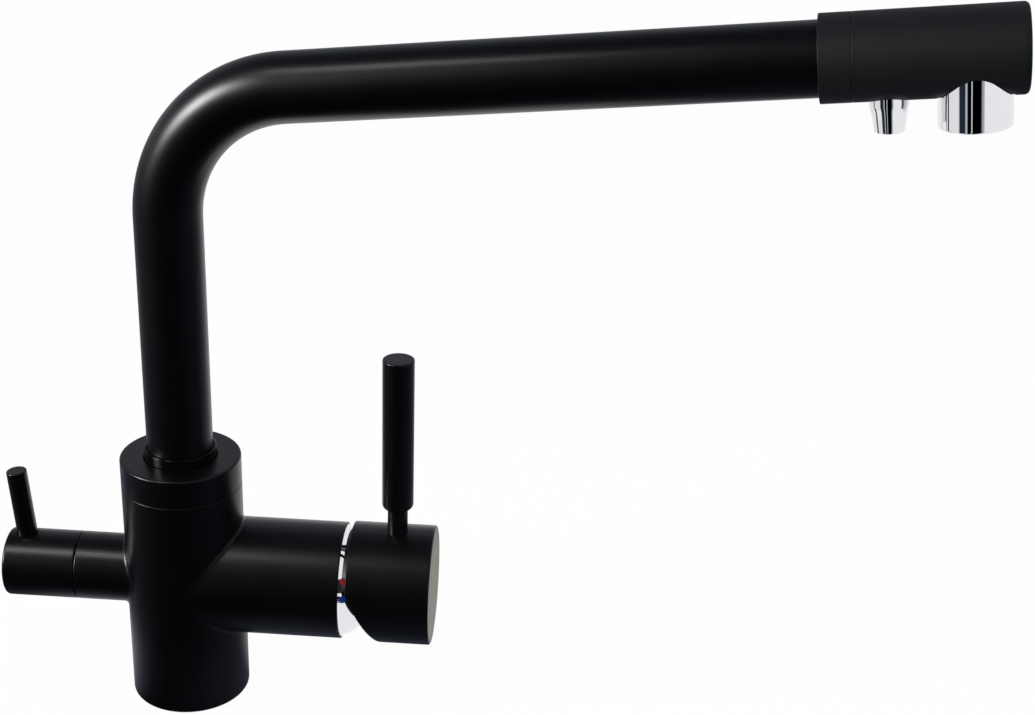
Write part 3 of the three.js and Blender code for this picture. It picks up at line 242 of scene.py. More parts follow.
class TapFineness(bpy.types.PropertyGroup):
    """How finely round shapes are divided."""

    large: IntProperty(name="Large rounds", description="Sides of the column", default=160)
    middle: IntProperty(name="Middle rounds", description="Sides of the tube", default=112)
    small: IntProperty(name="Small rounds", description="Sides of pins and dots", default=64)
    bend: IntProperty(name="Bend", description="Steps of the spout's bend", default=48)
    edge: IntProperty(name="Edges", description="Steps of a rounded edge", default=4)


class TapStage(bpy.types.PropertyGroup):
    """The camera, at the photograph's angle, and the floor."""

    eye: FloatVectorProperty(
        name="Camera place", description="In the tap's frame", size=3, subtype="TRANSLATION",
        default=(0.152063, -0.579363, 0.408315))
    heading: angle("Heading", "Camera's turn from +Y towards -X", 2.4705)
    pitch: angle("Pitch", "How far the camera looks down", 24.2518)
    roll: angle("Roll", "Camera's roll about its own line", -2.0748)
    lens: FloatProperty(name="Lens", description="Focal length in mm", default=59.772)
    shift_x: FloatProperty(name="Shift X", description="Camera shift", default=0.00245, precision=5)
    shift_y: FloatProperty(name="Shift Y", description="Camera shift", default=0.01081, precision=5)
    floor: colour("Floor", "Pale floor", "#fafaf9")
    floor_glow: FloatProperty(
        name="Floor glow", description="Share of plain white in the floor", default=0.97)
    ambient: FloatProperty(
        name="Ambient", description="Even light from all round", default=0.5)


def sizes(group):
    """A group of sizes, finishes or settings, as the sidebar's user has them."""
    return getattr(bpy.context.scene, "tap_" + group)


# ---- Modelling ---------------------------------------------------------------------------
def pick(piece):
    """Selects a piece alone and makes it the active one."""
    bpy.ops.object.select_all(action="DESELECT")
    piece.select_set(True)
    bpy.context.view_layer.objects.active = piece


def turned(name, profile, sides, closed=False):
    """A piece turned about +Z: a circle, extruded and resized from point to point.

    The profile is a list of radius and height. A closed one ends where it starts, and
    an open one gets a flat face at each end."""
    bpy.ops.object.select_all(action="DESELECT")
    radius, height = profile[0]
    bpy.ops.mesh.primitive_circle_add(vertices=sides, radius=radius, location=(0, 0, height))
    piece = bpy.context.object
    piece.name = piece.data.name = name
    bpy.ops.object.transform_apply()
    bpy.ops.object.mode_set(mode="EDIT")
    if not closed:
        bpy.ops.mesh.edge_face_add()
    for next_radius, next_height in profile[1:]:
        climb = (0, 0, next_height - height)
        bpy.ops.mesh.extrude_region_move(TRANSFORM_OT_translate={"value": climb})
        share = next_radius / radius
        bpy.ops.transform.resize(value=(share, share, 1), center_override=(0, 0, next_height))
        radius, height = next_radius, next_height
    bpy.ops.mesh.select_all(action="SELECT")
    bpy.ops.mesh.remove_doubles(threshold=MERGE)
    bpy.ops.mesh.normals_make_consistent(inside=False)
    bpy.ops.object.mode_set(mode="OBJECT")
    return piece


def rod(radius, start, end, sides):
    """A round tool between two points."""
    line = Vector(end) - Vector(start)
    bpy.ops.object.select_all(action="DESELECT")
    bpy.ops.mesh.primitive_cylinder_add(
        vertices=sides, radius=radius, depth=line.length,
        location=(Vector(start) + Vector(end)) / 2,
        rotation=line.to_track_quat("Z", "Y").to_euler())
    bpy.ops.object.transform_apply()
    return bpy.context.object


def combine(piece, tool, operation):
    """Joins a tool to a piece, or cuts the piece with it. The tool is used up."""
    step = piece.modifiers.new("step", "BOOLEAN")
    step.operation = operation
    step.solver = "EXACT"
    step.object = tool
    apply_modifiers(piece)
    bpy.data.meshes.remove(tool.data)


def apply_modifiers(piece):
    pick(piece)
    for step in list(piece.modifiers):
        bpy.ops.object.modifier_apply(modifier=step.name)


def place(piece, matrix):
    """Puts a piece that was modelled about +Z in its place, with the place in its mesh."""
    pick(piece)
    piece.matrix_world = matrix
    bpy.ops.object.transform_apply()
    return piece


def on_ring(radius, height):
    """Accepts an edge that lies on a circle about +Z."""
    def accept(edge):
        return all(
            abs(corner.co.xy.length - radius) < HAIR and abs(corner.co.z - height) < HAIR
            for corner in edge.verts)
    return accept


def round_edges(piece, accept, width, steps=None):
    """Bevels the edges that a test accepts."""
    pick(piece)
    bpy.ops.object.mode_set(mode="EDIT")
    bpy.ops.mesh.select_mode(type="EDGE")
    bpy.ops.mesh.select_all(action="DESELECT")
    mesh = bmesh.from_edit_mesh(piece.data)
    for edge in mesh.edges:
        edge.select_set(len(edge.link_faces) == 2 and accept(edge))
    bmesh.update_edit_mesh(piece.data)
    bpy.ops.mesh.bevel(
        offset=width, segments=steps or sizes("fineness").edge, profile=0.5,
        clamp_overlap=False)
    bpy.ops.object.mode_set(mode="OBJECT")


def finish_piece(piece, slot, body, *nodes):
    """Shades a piece, gives it the finish of its slot and ties it to the model."""
    pick(piece)
    bpy.ops.object.shade_smooth_by_angle(angle=SMOOTH_ANGLE)
    even = piece.modifiers.new("even", "WEIGHTED_NORMAL")
    even.keep_sharp = True
    apply_modifiers(piece)
    piece.data.materials.clear()
    piece.data.materials.append(finish_of(slot))
    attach(piece, body)
    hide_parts(*nodes)
    return piece


def side_frame(direction):
    """The frame of a side barrel: +Z outwards along it and +X up."""
    up = Vector((0, 0, 1))
    out = Vector((direction, 0, 0))
    return frame_of(up, out.cross(up), out, (0, 0, sizes("body").arm_height))


def frame_of(x_axis, y_axis, z_axis, origin):
    turn = Matrix((x_axis, y_axis, z_axis)).transposed()
    return Matrix.Translation(origin) @ turn.to_4x4()


def spout_frame():
    return Matrix.Rotation(sizes("spout").turn, 4, "Z")


def head_frame():
    """+Z along the arm and +X square to it, upwards."""
    spout = sizes("spout")
    rise = spout.rise
    along = Vector((math.cos(rise), 0, math.sin(rise)))
    up = Vector((-math.sin(rise), 0, math.cos(rise)))
    return spout_frame() @ frame_of(up, along.cross(up), along, (0, 0, spout.height))


def outlet_frame(reach):
    """In the head's frame: +Z down from the arm's axis."""
    return Matrix.Translation((0, 0, reach)) @ Matrix.Rotation(-math.pi / 2, 4, "Y")


def arc(radius, start, end, steps, centre=0.0):
    """Points of a circle about (0, centre), from one height to another."""
    first = math.asin((start - centre) / radius)
    last = math.asin((end - centre) / radius)
    turns = [first + (last - first) * i / steps for i in range(steps + 1)]
    return [(radius * math.cos(t), centre + radius * math.sin(t)) for t in turns]


# ---- Finishes ----------------------------------------------------------------------------
def add(tree, kind, inputs=None, **settings):
    """Adds a node with its settings, its values and its links."""
    made = tree.nodes.new(kind)
    for key, value in settings.items():
        setattr(made, key, value)
    for socket, value in (inputs or {}).items():
        if isinstance(value, bpy.types.NodeSocket):
            tree.links.new(value, made.inputs[socket])
        else:
            made.inputs[socket].default_value = value
    return made


def new_material(name):
    """A material, its tree without the usual nodes, and the coordinates of the piece."""
    material = bpy.data.materials.new(name)
    material.use_nodes = True
    tree = material.node_tree
    tree.nodes.clear()
    place_of = add(tree, "ShaderNodeTexCoord").outputs["Object"]
    return material, tree, place_of


def close_material(tree, shader):
    """Ends a material's tree with its output."""
    add(tree, "ShaderNodeOutputMaterial", {"Surface": shader.outputs["BSDF"]})


def shades(tree, factor, base, darker, lighter):
    """A ramp from a darker to a lighter shade of a colour."""
    ramp = add(tree, "ShaderNodeValToRGB", {"Fac": factor})
    for stop, share in zip(ramp.color_ramp.elements, (darker, lighter)):
        stop.color = (*(min(1, channel * share) for channel in base), 1)
    return ramp.outputs["Color"]


def spread(tree, factor, low_value, high_value):
    """A factor from 0 to 1 as a value between two others."""
    return add(tree, "ShaderNodeMapRange", {
        "Value": factor, "To Min": low_value, "To Max": high_value}).outputs["Result"]


def powder_coat():
    """Matte black powder coat, baked on the casting: an even, very dark skin whose fine
    orange peel (0.5 mm) softens highlights, and whose sheen varies softly over 14 mm."""
    material, tree, where = new_material("matte_black_powder_coat")
    peel = add(tree, "ShaderNodeTexNoise", {
        "Vector": where, "Scale": 1 / (0.5 * MM), "Detail": 3.0, "Roughness": 0.6})
    cloud = add(tree, "ShaderNodeTexNoise", {
        "Vector": where, "Scale": 1 / (14 * MM), "Detail": 4.0})
    speck = add(tree, "ShaderNodeTexNoise", {
        "Vector": where, "Scale": 1 / (0.9 * MM), "Detail": 1.0})
    bump = add(tree, "ShaderNodeBump", {
        "Height": peel.outputs["Fac"], "Strength": 0.04, "Distance": 0.05 * MM})
    coat = add(tree, "ShaderNodeBsdfPrincipled", {
        "Base Color": shades(tree, speck.outputs["Fac"], sizes("finishes").coat, 0.6, 1.5),
        "Roughness": spread(tree, cloud.outputs["Fac"], 0.28, 0.35),
        "Normal": bump.outputs["Normal"]})
    close_material(tree, coat)
    return material


def moulded_black():
    """Black moulded plastic with a spark-eroded texture: greyer and duller than the coat,
    with a grain of about 0.7 mm that shows as a faint mottle."""
    material, tree, where = new_material("textured_black_abs")
    grain = add(tree, "ShaderNodeTexNoise", {
        "Vector": where, "Scale": 1 / (0.7 * MM), "Detail": 4.0, "Roughness": 0.65})
    cloud = add(tree, "ShaderNodeTexNoise", {
        "Vector": where, "Scale": 1 / (9 * MM), "Detail": 3.0})
    bump = add(tree, "ShaderNodeBump", {
        "Height": grain.outputs["Fac"], "Strength": 0.3, "Distance": 0.06 * MM})
    plastic = add(tree, "ShaderNodeBsdfPrincipled", {
        "Base Color": shades(tree, grain.outputs["Fac"], sizes("finishes").head, 0.7, 1.35),
        "Roughness": spread(tree, cloud.outputs["Fac"], 0.5, 0.6),
        "Normal": bump.outputs["Normal"]})
    plastic.inputs["Specular IOR Level"].default_value = 0.4
    close_material(tree, plastic)
    return material


def gloss_black():
    """Polished black acetal: a deep black with sharp glints and faint turning marks."""
    material, tree, where = new_material("polished_black_acetal")
    marks = add(tree, "ShaderNodeTexWave", {
        "Vector": where, "Scale": 1 / (3 * MM), "Distortion": 0.3}, bands_direction="Z")
    plastic = add(tree, "ShaderNodeBsdfPrincipled", {
        "Base Color": shades(tree, marks.outputs["Fac"], sizes("finishes").gloss, 0.8, 1.2),
        "Roughness": spread(tree, marks.outputs["Fac"], 0.08, 0.16)})
    plastic.inputs["Specular IOR Level"].default_value = 0.2
    close_material(tree, plastic)
    return material


def polished_chrome():
    """Bright nickel-chrome plate on polished brass: a perfect mirror, whose tint varies
    faintly over 6 mm."""
    material, tree, where = new_material("polished_chrome_plate")
    haze = add(tree, "ShaderNodeTexNoise", {
        "Vector": where, "Scale": 1 / (6 * MM), "Detail": 5.0})
    plate = add(tree, "ShaderNodeBsdfPrincipled", {
        "Base Color": shades(tree, haze.outputs["Fac"], sizes("finishes").chrome, 0.97, 1.02)})
    plate.inputs["Metallic"].default_value = 1
    plate.inputs["Roughness"].default_value = 0
    close_material(tree, plate)
    return material


def turned_metal(name, base, roughness, mark):
    """A metal as it comes off the lathe: fine ridges whose spacing is the tool's feed."""
    material, tree, where = new_material(name)
    ridges = add(tree, "ShaderNodeTexNoise", {
        "Vector": where, "Scale": 1 / mark, "Detail": 2.0})
    bump = add(tree, "ShaderNodeBump", {
        "Height": ridges.outputs["Fac"], "Strength": 0.2, "Distance": 0.03 * MM})
    metal = add(tree, "ShaderNodeBsdfPrincipled", {
        "Base Color": shades(tree, ridges.outputs["Fac"], base, 0.85, 1.1),
        "Roughness": spread(tree, ridges.outputs["Fac"], roughness, roughness + 0.1),
        "Normal": bump.outputs["Normal"]})
    metal.inputs["Metallic"].default_value = 1
    close_material(tree, metal)
    return material


def plain_solid(name, base, roughness, grain):
    """A non-metal that is the same all through: a faint mottle and an uneven sheen."""
    material, tree, where = new_material(name)
    mottle = add(tree, "ShaderNodeTexNoise", {
        "Vector": where, "Scale": 1 / grain, "Detail": 3.0})
    body = add(tree, "ShaderNodeBsdfPrincipled", {
        "Base Color": shades(tree, mottle.outputs["Fac"], base, 0.9, 1.08),
        "Roughness": spread(tree, mottle.outputs["Fac"], roughness, roughness + 0.12)})
    close_material(tree, body)
    return material


# The record's slots. Metals have a roughness and a feed, and solids a roughness and a grain.
FINISH_MAKERS = {
    "coated_black": powder_coat,
    "head_black": moulded_black,
    "gloss_black": gloss_black,
    "chrome": polished_chrome,
    "brass": lambda: turned_metal("turned_brass", sizes("finishes").brass, 0.28, 0.6 * MM),
    "steel": lambda: turned_metal("stainless_steel", sizes("finishes").steel, 0.3, 0.4 * MM),
    "rubber": lambda: plain_solid("black_epdm_rubber", sizes("finishes").rubber, 0.7, 0.8 * MM),
    "ceramic": lambda: plain_solid("ground_alumina", sizes("finishes").ceramic, 0.2, 1.5 * MM),
    "white_acetal": lambda: plain_solid("white_acetal", sizes("finishes").white, 0.4, 2 * MM),
    "grey_acetal": lambda: plain_solid("grey_acetal", sizes("finishes").grey, 0.45, 2 * MM),
    "hose_plastic": lambda: plain_solid("hose_polyethylene", sizes("finishes").hose, 0.4, 3 * MM),
    "red_enamel": lambda: plain_solid("red_enamel", sizes("finishes").hot, 0.12, 1 * MM),
    "blue_enamel": lambda: plain_solid("blue_enamel", sizes("finishes").cold, 0.12, 1 * MM),
}
made_finishes = {}


def finish_of(slot):
    """The material of a slot of the record, made once."""
    if slot not in made_finishes:
        made_finishes[slot] = FINISH_MAKERS[slot]()
    return made_finishes[slot]


# ---- Pieces ------------------------------------------------------------------------------
# Sockets in the roof of the hose room, in mm: where each is, and which size it has.
SOCKETS = (
    (5, 9, "hose_socket"), (5, -9, "hose_socket"), (-9.5, 4, "hose_socket"),
    (-6.4, -8.4, "stud_socket"))
SOCKET_SIDES = 48
# The bore in the top of the column, from its floor up, in mm: radius and height at the
# water's channel, the spout's connector, the slip rings and the collar's thread.
SPOUT_SOCKET = (
    (5.4, 48), (5.4, 60), (13.9, 60), (13.9, 78.2), (16.8, 78.2), (16.8, 85.5), (19.8, 85.5))


class TAP_OT_body(bpy.types.Operator):
    """Casts the column with both side barrels, filleted where they meet, and bores it."""

    bl_idname = "tap.make_body"
    bl_label = "Body"

    def execute(self, context):
        body = sizes("body")
        fineness = sizes("fineness")
        piece = turned(
            "tap_body_casting", [(body.radius, 0), (body.radius, body.height)], fineness.large)
        for direction, radius, end, edge in (
                (1, body.barrel_radius, body.barrel_end, body.seam_edge),
                (-1, body.filter_radius, body.filter_end, body.knob_groove)):
            barrel = turned("barrel", [(radius, 0), (radius, end)], fineness.large)
            round_edges(barrel, on_ring(radius, end), edge)
            combine(piece, place(barrel, side_frame(direction)), "UNION")
        round_edges(piece, self.on_crease, body.fillet)
        round_edges(piece, on_ring(body.radius, 0), body.foot_edge)
        round_edges(piece, on_ring(body.radius, body.height), body.seam_edge)
        for tool in self.bores():
            combine(piece, tool, "DIFFERENCE")
        finish_piece(piece, "coated_black", "tap_body", "main_body")
        return {"FINISHED"}

    @staticmethod
    def on_crease(edge):
        """Between a face of the column and one of a barrel, where they meet at an angle."""
        body = sizes("body")
        middle = (edge.verts[0].co + edge.verts[1].co) / 2
        first, second = (face.normal for face in edge.link_faces)
        inside = body.foot_edge < middle.z < body.height - body.foot_edge
        inside = inside and -body.filter_end + FAR < middle.x < body.barrel_end - FAR
        return inside and first.angle(second) > CREASE_ANGLE

    @staticmethod
    def bores():
        """The tools for the room under the foot, the sockets and the three large bores."""
        body = sizes("body")
        fineness = sizes("fineness")
        arm = body.arm_height
        ceiling = body.hose_depth
        yield rod(body.hose_room, (0, 0, -FAR), (0, 0, ceiling), fineness.large)
        groove_width = 3 * MM
        outer = high("base_seal", "x") + GAP
        inner = outer - groove_width
        yield turned("groove", [
            (inner, -FAR), (outer, -FAR), (outer, body.groove_depth), (inner, body.groove_depth),
            (inner, -FAR)], fineness.large, closed=True)
        top = ceiling + body.socket_depth
        for x, y, size in SOCKETS:
            yield rod(
                getattr(body, size), (x * MM, y * MM, ceiling - FAR), (x * MM, y * MM, top),
                SOCKET_SIDES)
        steps = [(radius * MM, height * MM) for radius, height in SPOUT_SOCKET]
        mouth = (steps[-1][0], body.height + FAR)
        yield turned("spout_socket", [*steps, mouth], fineness.large)
        mixer = turned("mixer_bore", [
            (body.cartridge_bore, body.cartridge_seat), (body.cartridge_bore, body.nut_seat),
            (body.nut_bore, body.nut_seat), (body.nut_bore, body.barrel_end + FAR)],
            fineness.large)
        yield place(mixer, side_frame(1))
        yield rod(
            body.valve_bore, (-body.valve_seat, 0, arm), (-body.filter_end - FAR, 0, arm),
            fineness.middle)


class TAP_OT_collar(bpy.types.Operator):
    """Turns the collar on top of the column, the ring in it and the seal under the foot."""

    bl_idname = "tap.make_collar"
    bl_label = "Collar, ring and seal"

    def execute(self, context):
        body = sizes("body")
        sides = sizes("fineness").large
        seam = body.height + SEAM
        bore = body.bush_radius + GAP
        inner = body.bush_radius - body.bush_wall
        ledge = body.collar_foot + body.collar_ledge
        collar = turned("spout_collar_ring", [
            (inner, body.collar_foot), (body.collar_thread, body.collar_foot),
            (body.collar_thread, seam), (body.radius, seam), (body.radius, body.collar_top),
            (bore, body.collar_top), (bore, ledge), (inner, ledge), (inner, body.collar_foot),
        ], sides, closed=True)
        round_edges(collar, on_ring(body.radius, body.collar_top), body.collar_edge)
        round_edges(collar, on_ring(body.radius, seam), body.seam_edge)
        round_edges(collar, on_ring(bore, body.collar_top), body.seam_edge)
        finish_piece(collar, "coated_black", "tap_body", "spout_collar")

        bush = turned("spout_bush_ring", [
            (inner, body.bush_foot), (body.bush_radius, body.bush_foot),
            (body.bush_radius, body.bush_top), (inner, body.bush_top), (inner, body.bush_foot),
        ], sides, closed=True)
        round_edges(bush, on_ring(body.bush_radius, body.bush_top), body.bush_wall / 2)
        finish_piece(bush, "gloss_black", "tap_body", "spout_bush")

        width = 1.8 * MM
        outer = high("base_seal", "x")
        top = high("base_seal", "z")
        seal = turned("foot_seal_ring", [
            (outer - width, 0), (outer, 0), (outer, top), (outer - width, top),
            (outer - width, 0),
        ], sides, closed=True)
        round_edges(seal, on_ring(outer, 0), width / 4)
        finish_piece(seal, "rubber", "tap_body", "base_seal")
        return {"FINISHED"}


class TAP_OT_tube(bpy.types.Operator):
    """Bends the spout's tube: a circle, extruded up, spun round the bend and extruded on."""

    bl_idname = "tap.make_tube"
    bl_label = "Spout tube"

    def execute(self, context):
        spout = sizes("spout")
        fineness = sizes("fineness")
        turn = math.pi / 2 - spout.rise
        reach = spout.bend * math.tan(turn / 2)
        bend_foot = spout.height - reach
        bpy.ops.object.select_all(action="DESELECT")
        bpy.ops.mesh.primitive_circle_add(
            vertices=fineness.middle, radius=spout.radius, location=(0, 0, spout.foot))
        piece = bpy.context.object
        piece.name = piece.data.name = "spout_tube_bent"
        bpy.ops.object.transform_apply()
        bpy.ops.object.mode_set(mode="EDIT")
        bpy.ops.mesh.extrude_region_move(
            TRANSFORM_OT_translate={"value": (0, 0, bend_foot - spout.foot)})
        bpy.ops.mesh.spin(
            steps=fineness.bend, angle=turn, center=(spout.bend, 0, bend_foot), axis=(0, -1, 0))
        along = Vector((math.cos(spout.rise), 0, math.sin(spout.rise)))
        bpy.ops.mesh.extrude_region_move(
            TRANSFORM_OT_translate={"value": along * (spout.tube_end - reach)})
        bpy.ops.mesh.select_all(action="SELECT")
        bpy.ops.mesh.remove_doubles(threshold=MERGE)
        bpy.ops.mesh.normals_make_consistent(inside=False)
        bpy.ops.object.mode_set(mode="OBJECT")
        wall = piece.modifiers.new("wall", "SOLIDIFY")
        wall.thickness = spout.wall
        wall.offset = -1
        apply_modifiers(piece)
        place(piece, spout_frame())
        finish_piece(piece, "coated_black", "spout", "spout_tube")
        return {"FINISHED"}


class TAP_OT_head(bpy.types.Operator):
    """Turns the head's adaptor and its shell, and cuts the shell for both outlets."""

    bl_idname = "tap.make_head"
    bl_label = "Spout head"

    def execute(self, context):
        spout = sizes("spout")
        body = sizes("body")
        fineness = sizes("fineness")
        radius = spout.head_radius
        bore = spout.radius + GAP
        inner = spout.radius - spout.wall
        web = spout.head_seam - spout.adaptor_web
        adaptor = turned("head_adaptor_ring", [
            (bore, spout.head_start), (radius, spout.head_start), (radius, spout.head_seam),
            (inner, spout.head_seam), (inner, web), (bore, web), (bore, spout.head_start),
        ], fineness.large, closed=True)
        round_edges(adaptor, on_ring(radius, spout.head_start), body.seam_edge)
        round_edges(adaptor, on_ring(radius, spout.head_seam), body.seam_edge)
        place(adaptor, head_frame())
        finish_piece(adaptor, "head_black", "spout", "head_adaptor")

        start = spout.head_seam + SEAM
        shell = turned(
            "head_shell_moulding", [(radius, start), (radius, spout.head_end)], fineness.large)
        round_edges(shell, on_ring(radius, start), body.seam_edge)
        round_edges(shell, on_ring(radius, spout.head_end), spout.head_edge, steps=8)
        hollow = rod(
            radius - spout.head_wall, (0, 0, start - FAR),
            (0, 0, spout.head_end - spout.head_wall), fineness.large)
        combine(shell, hollow, "DIFFERENCE")
        holes = (
            (spout.mixed_place, spout.mixed_radius + spout.mixed_recess),
            (spout.filter_place, spout.filter_top + GAP + body.seam_edge / 4))
        for reach, hole in holes:
            tool = rod(hole, (0, 0, reach), (-radius - FAR, 0, reach), fineness.large)
            combine(shell, tool, "DIFFERENCE")
            round_edges(shell, self.on_hole(reach, hole), body.seam_edge / 2)
        place(shell, head_frame())
        finish_piece(shell, "head_black", "spout", "head_shell")
        return {"FINISHED"}

    @staticmethod
    def on_hole(reach, hole):
        """On the rim where an outlet's hole leaves the shell's outside."""
        radius = sizes("spout").head_radius
        near = 4 * HAIR

        def accept(edge):
            for corner in edge.verts:
                x, y, z = corner.co
                outside = abs(math.hypot(x, y) - radius) < near
                if not outside or abs(math.hypot(y, z - reach) - hole) > near or x > 0:
                    return False
            return True
        return accept


def pierced(name, radius, start, end, pitch, hole):
    """A disc with six-sided holes in a honeycomb: their pitch, and each one's radius."""
    disc = turned(name, [(radius, start), (radius, end)], sizes("fineness").middle)
    bpy.ops.object.select_all(action="DESELECT")
    tools = []
    rows = int(radius / pitch)
    for row in range(-rows, rows + 1):
        for column in range(-rows, rows + 1):
            x = pitch * (column + row / 2)
            y = pitch * row * math.sqrt(3) / 2
            if math.hypot(x, y) + hole < radius - hole / 2:
                bpy.ops.mesh.primitive_cylinder_add(
                    vertices=6, radius=hole, depth=end - start + 2 * FAR,
                    location=(x, y, (start + end) / 2))
                tools.append(bpy.context.object)
    for tool in tools:
        tool.select_set(True)
    bpy.ops.object.join()
    bpy.ops.object.transform_apply()
    combine(disc, bpy.context.object, "DIFFERENCE")
    return disc


class TAP_OT_outlets(bpy.types.Operator):
    """Turns both chrome outlets and pierces the grids in them."""

    bl_idname = "tap.make_outlets"
    bl_label = "Outlets"

    def execute(self, context):
        self.mixed_outlet()
        self.filter_outlet()
        return {"FINISHED"}

    def mixed_outlet(self):
        spout = sizes("spout")
        where = head_frame() @ outlet_frame(spout.mixed_place)
        outer = spout.mixed_radius
        bore = outer - spout.mixed_wall
        lip_width, lip_depth = 0.8 * MM, 1.3 * MM
        outer_edge, inner_edge = 0.6 * MM, 0.3 * MM
        pitch, hole = 2.2 * MM, 1.05 * MM
        lip_bore = bore - lip_width
        tip = spout.mixed_reach
        lip = tip - lip_depth
        housing = turned("aerator_housing_plated", [
            (bore, spout.mixed_top), (outer, spout.mixed_top), (outer, tip), (lip_bore, tip),
            (lip_bore, lip), (bore, lip), (bore, spout.mixed_top),
        ], sizes("fineness").large, closed=True)
        round_edges(housing, on_ring(outer, tip), outer_edge)
        round_edges(housing, on_ring(lip_bore, tip), inner_edge)
        place(housing, where)
        finish_piece(housing, "chrome", "spout", "aerator_housing")
        grid_end = lip - GAP
        grid = pierced(
            "aerator_grid_honeycomb", bore - GAP, grid_end - spout.grid_depth, grid_end,
            pitch, hole)
        place(grid, where)
        finish_piece(grid, "grey_acetal", "spout", "aerator_grid")

    def filter_outlet(self):
        spout = sizes("spout")
        where = head_frame() @ outlet_frame(spout.filter_place)
        shoulder_drop, waist_drop = 1.5 * MM, 5 * MM  # below the head's outside
        shoulder_edge, waist_edge, outer_edge, inner_edge = 0.7 * MM, 1.5 * MM, 0.4 * MM, 0.3 * MM
        top = spout.head_radius - spout.head_wall
        shoulder = spout.head_radius + shoulder_drop
        waist = spout.head_radius + waist_drop
        tip = spout.filter_reach
        nozzle = turned("filter_nozzle_plated", [
            (spout.filter_bore, top), (spout.filter_top, top), (spout.filter_top, shoulder),
            (spout.filter_waist, waist), (spout.filter_tip, tip), (spout.filter_bore, tip),
            (spout.filter_bore, top),
        ], sizes("fineness").middle, closed=True)
        round_edges(nozzle, on_ring(spout.filter_top, shoulder), shoulder_edge)
        round_edges(nozzle, on_ring(spout.filter_waist, waist), waist_edge)
        round_edges(nozzle, on_ring(spout.filter_tip, tip), outer_edge)
        round_edges(nozzle, on_ring(spout.filter_bore, tip), inner_edge)
        place(nozzle, where)
        finish_piece(nozzle, "chrome", "spout", "filter_nozzle")
        recess, thickness = 1 * MM, 5 * MM
        pitch, hole = 1.5 * MM, 0.65 * MM
        end = tip - recess
        straightener = pierced(
            "flow_straightener_honeycomb", spout.filter_bore - GAP, end - thickness, end,
            pitch, hole)
        place(straightener, where)
        finish_piece(straightener, "grey_acetal", "spout", "flow_straightener")


class TAP_OT_dome(bpy.types.Operator):
    """Turns the chrome dome in the mixer's mouth and sets its red and blue dots."""

    bl_idname = "tap.make_dome"
    bl_label = "Dome and dots"

    def execute(self, context):
        mixer = sizes("mixer")
        seat = sizes("body").barrel_end + GAP
        skirt_wall = 1.8 * MM
        clearance = 0.1 * MM
        sunk = 0.05 * MM
        dot_edge = 0.2 * MM
        inner = mixer.dome - mixer.dome_wall
        outside = arc(mixer.dome, seat, mixer.dome_end, steps=20, centre=mixer.pivot)
        inside = arc(
            inner, mixer.dome_end, seat - mixer.dome_wall, steps=12, centre=mixer.pivot)
        dome = turned("dome_ring_plated", [
            *outside, *inside, (mixer.dome_skirt - skirt_wall, mixer.dome_foot),
            (mixer.dome_skirt, mixer.dome_foot), (mixer.dome_skirt, seat), outside[0],
        ], sizes("fineness").large, closed=True)
        for turn in (mixer.hot, mixer.cold):
            hole = self.plug("hole", mixer.dot + clearance, FAR, mixer.dot_depth + GAP)
            combine(dome, place(hole, self.dot_frame(turn)), "DIFFERENCE")
        place(dome, side_frame(1))
        finish_piece(dome, "chrome", "tap_body", "dome_ring")
        for node, turn, slot in (
                ("hot_index_dot", mixer.hot, "red_enamel"),
                ("cold_index_dot", mixer.cold, "blue_enamel")):
            dot = self.plug(node + "_enamel", mixer.dot, -sunk, mixer.dot_depth)
            round_edges(dot, on_ring(mixer.dot, mixer.dome - sunk), dot_edge)
            place(dot, side_frame(1) @ self.dot_frame(turn))
            finish_piece(dot, slot, "tap_body", node)
        return {"FINISHED"}

    @staticmethod
    def plug(name, radius, proud, depth):
        """A round plug across the dome's surface, which it passes by so much."""
        dome = sizes("mixer").dome
        return turned(
            name, [(radius, dome - depth), (radius, dome + proud)], sizes("fineness").small)

    @staticmethod
    def dot_frame(turn):
        """In the barrel's frame: +Z out of the dome through a dot."""
        mixer = sizes("mixer")
        reach = sizes("body").barrel_end + mixer.dot_reach - mixer.pivot
        lean = math.pi / 2 - math.asin(reach / mixer.dome)
        return (Matrix.Translation((0, 0, mixer.pivot)) @ Matrix.Rotation(turn, 4, "Z")
                @ Matrix.Rotation(lean, 4, "Y"))


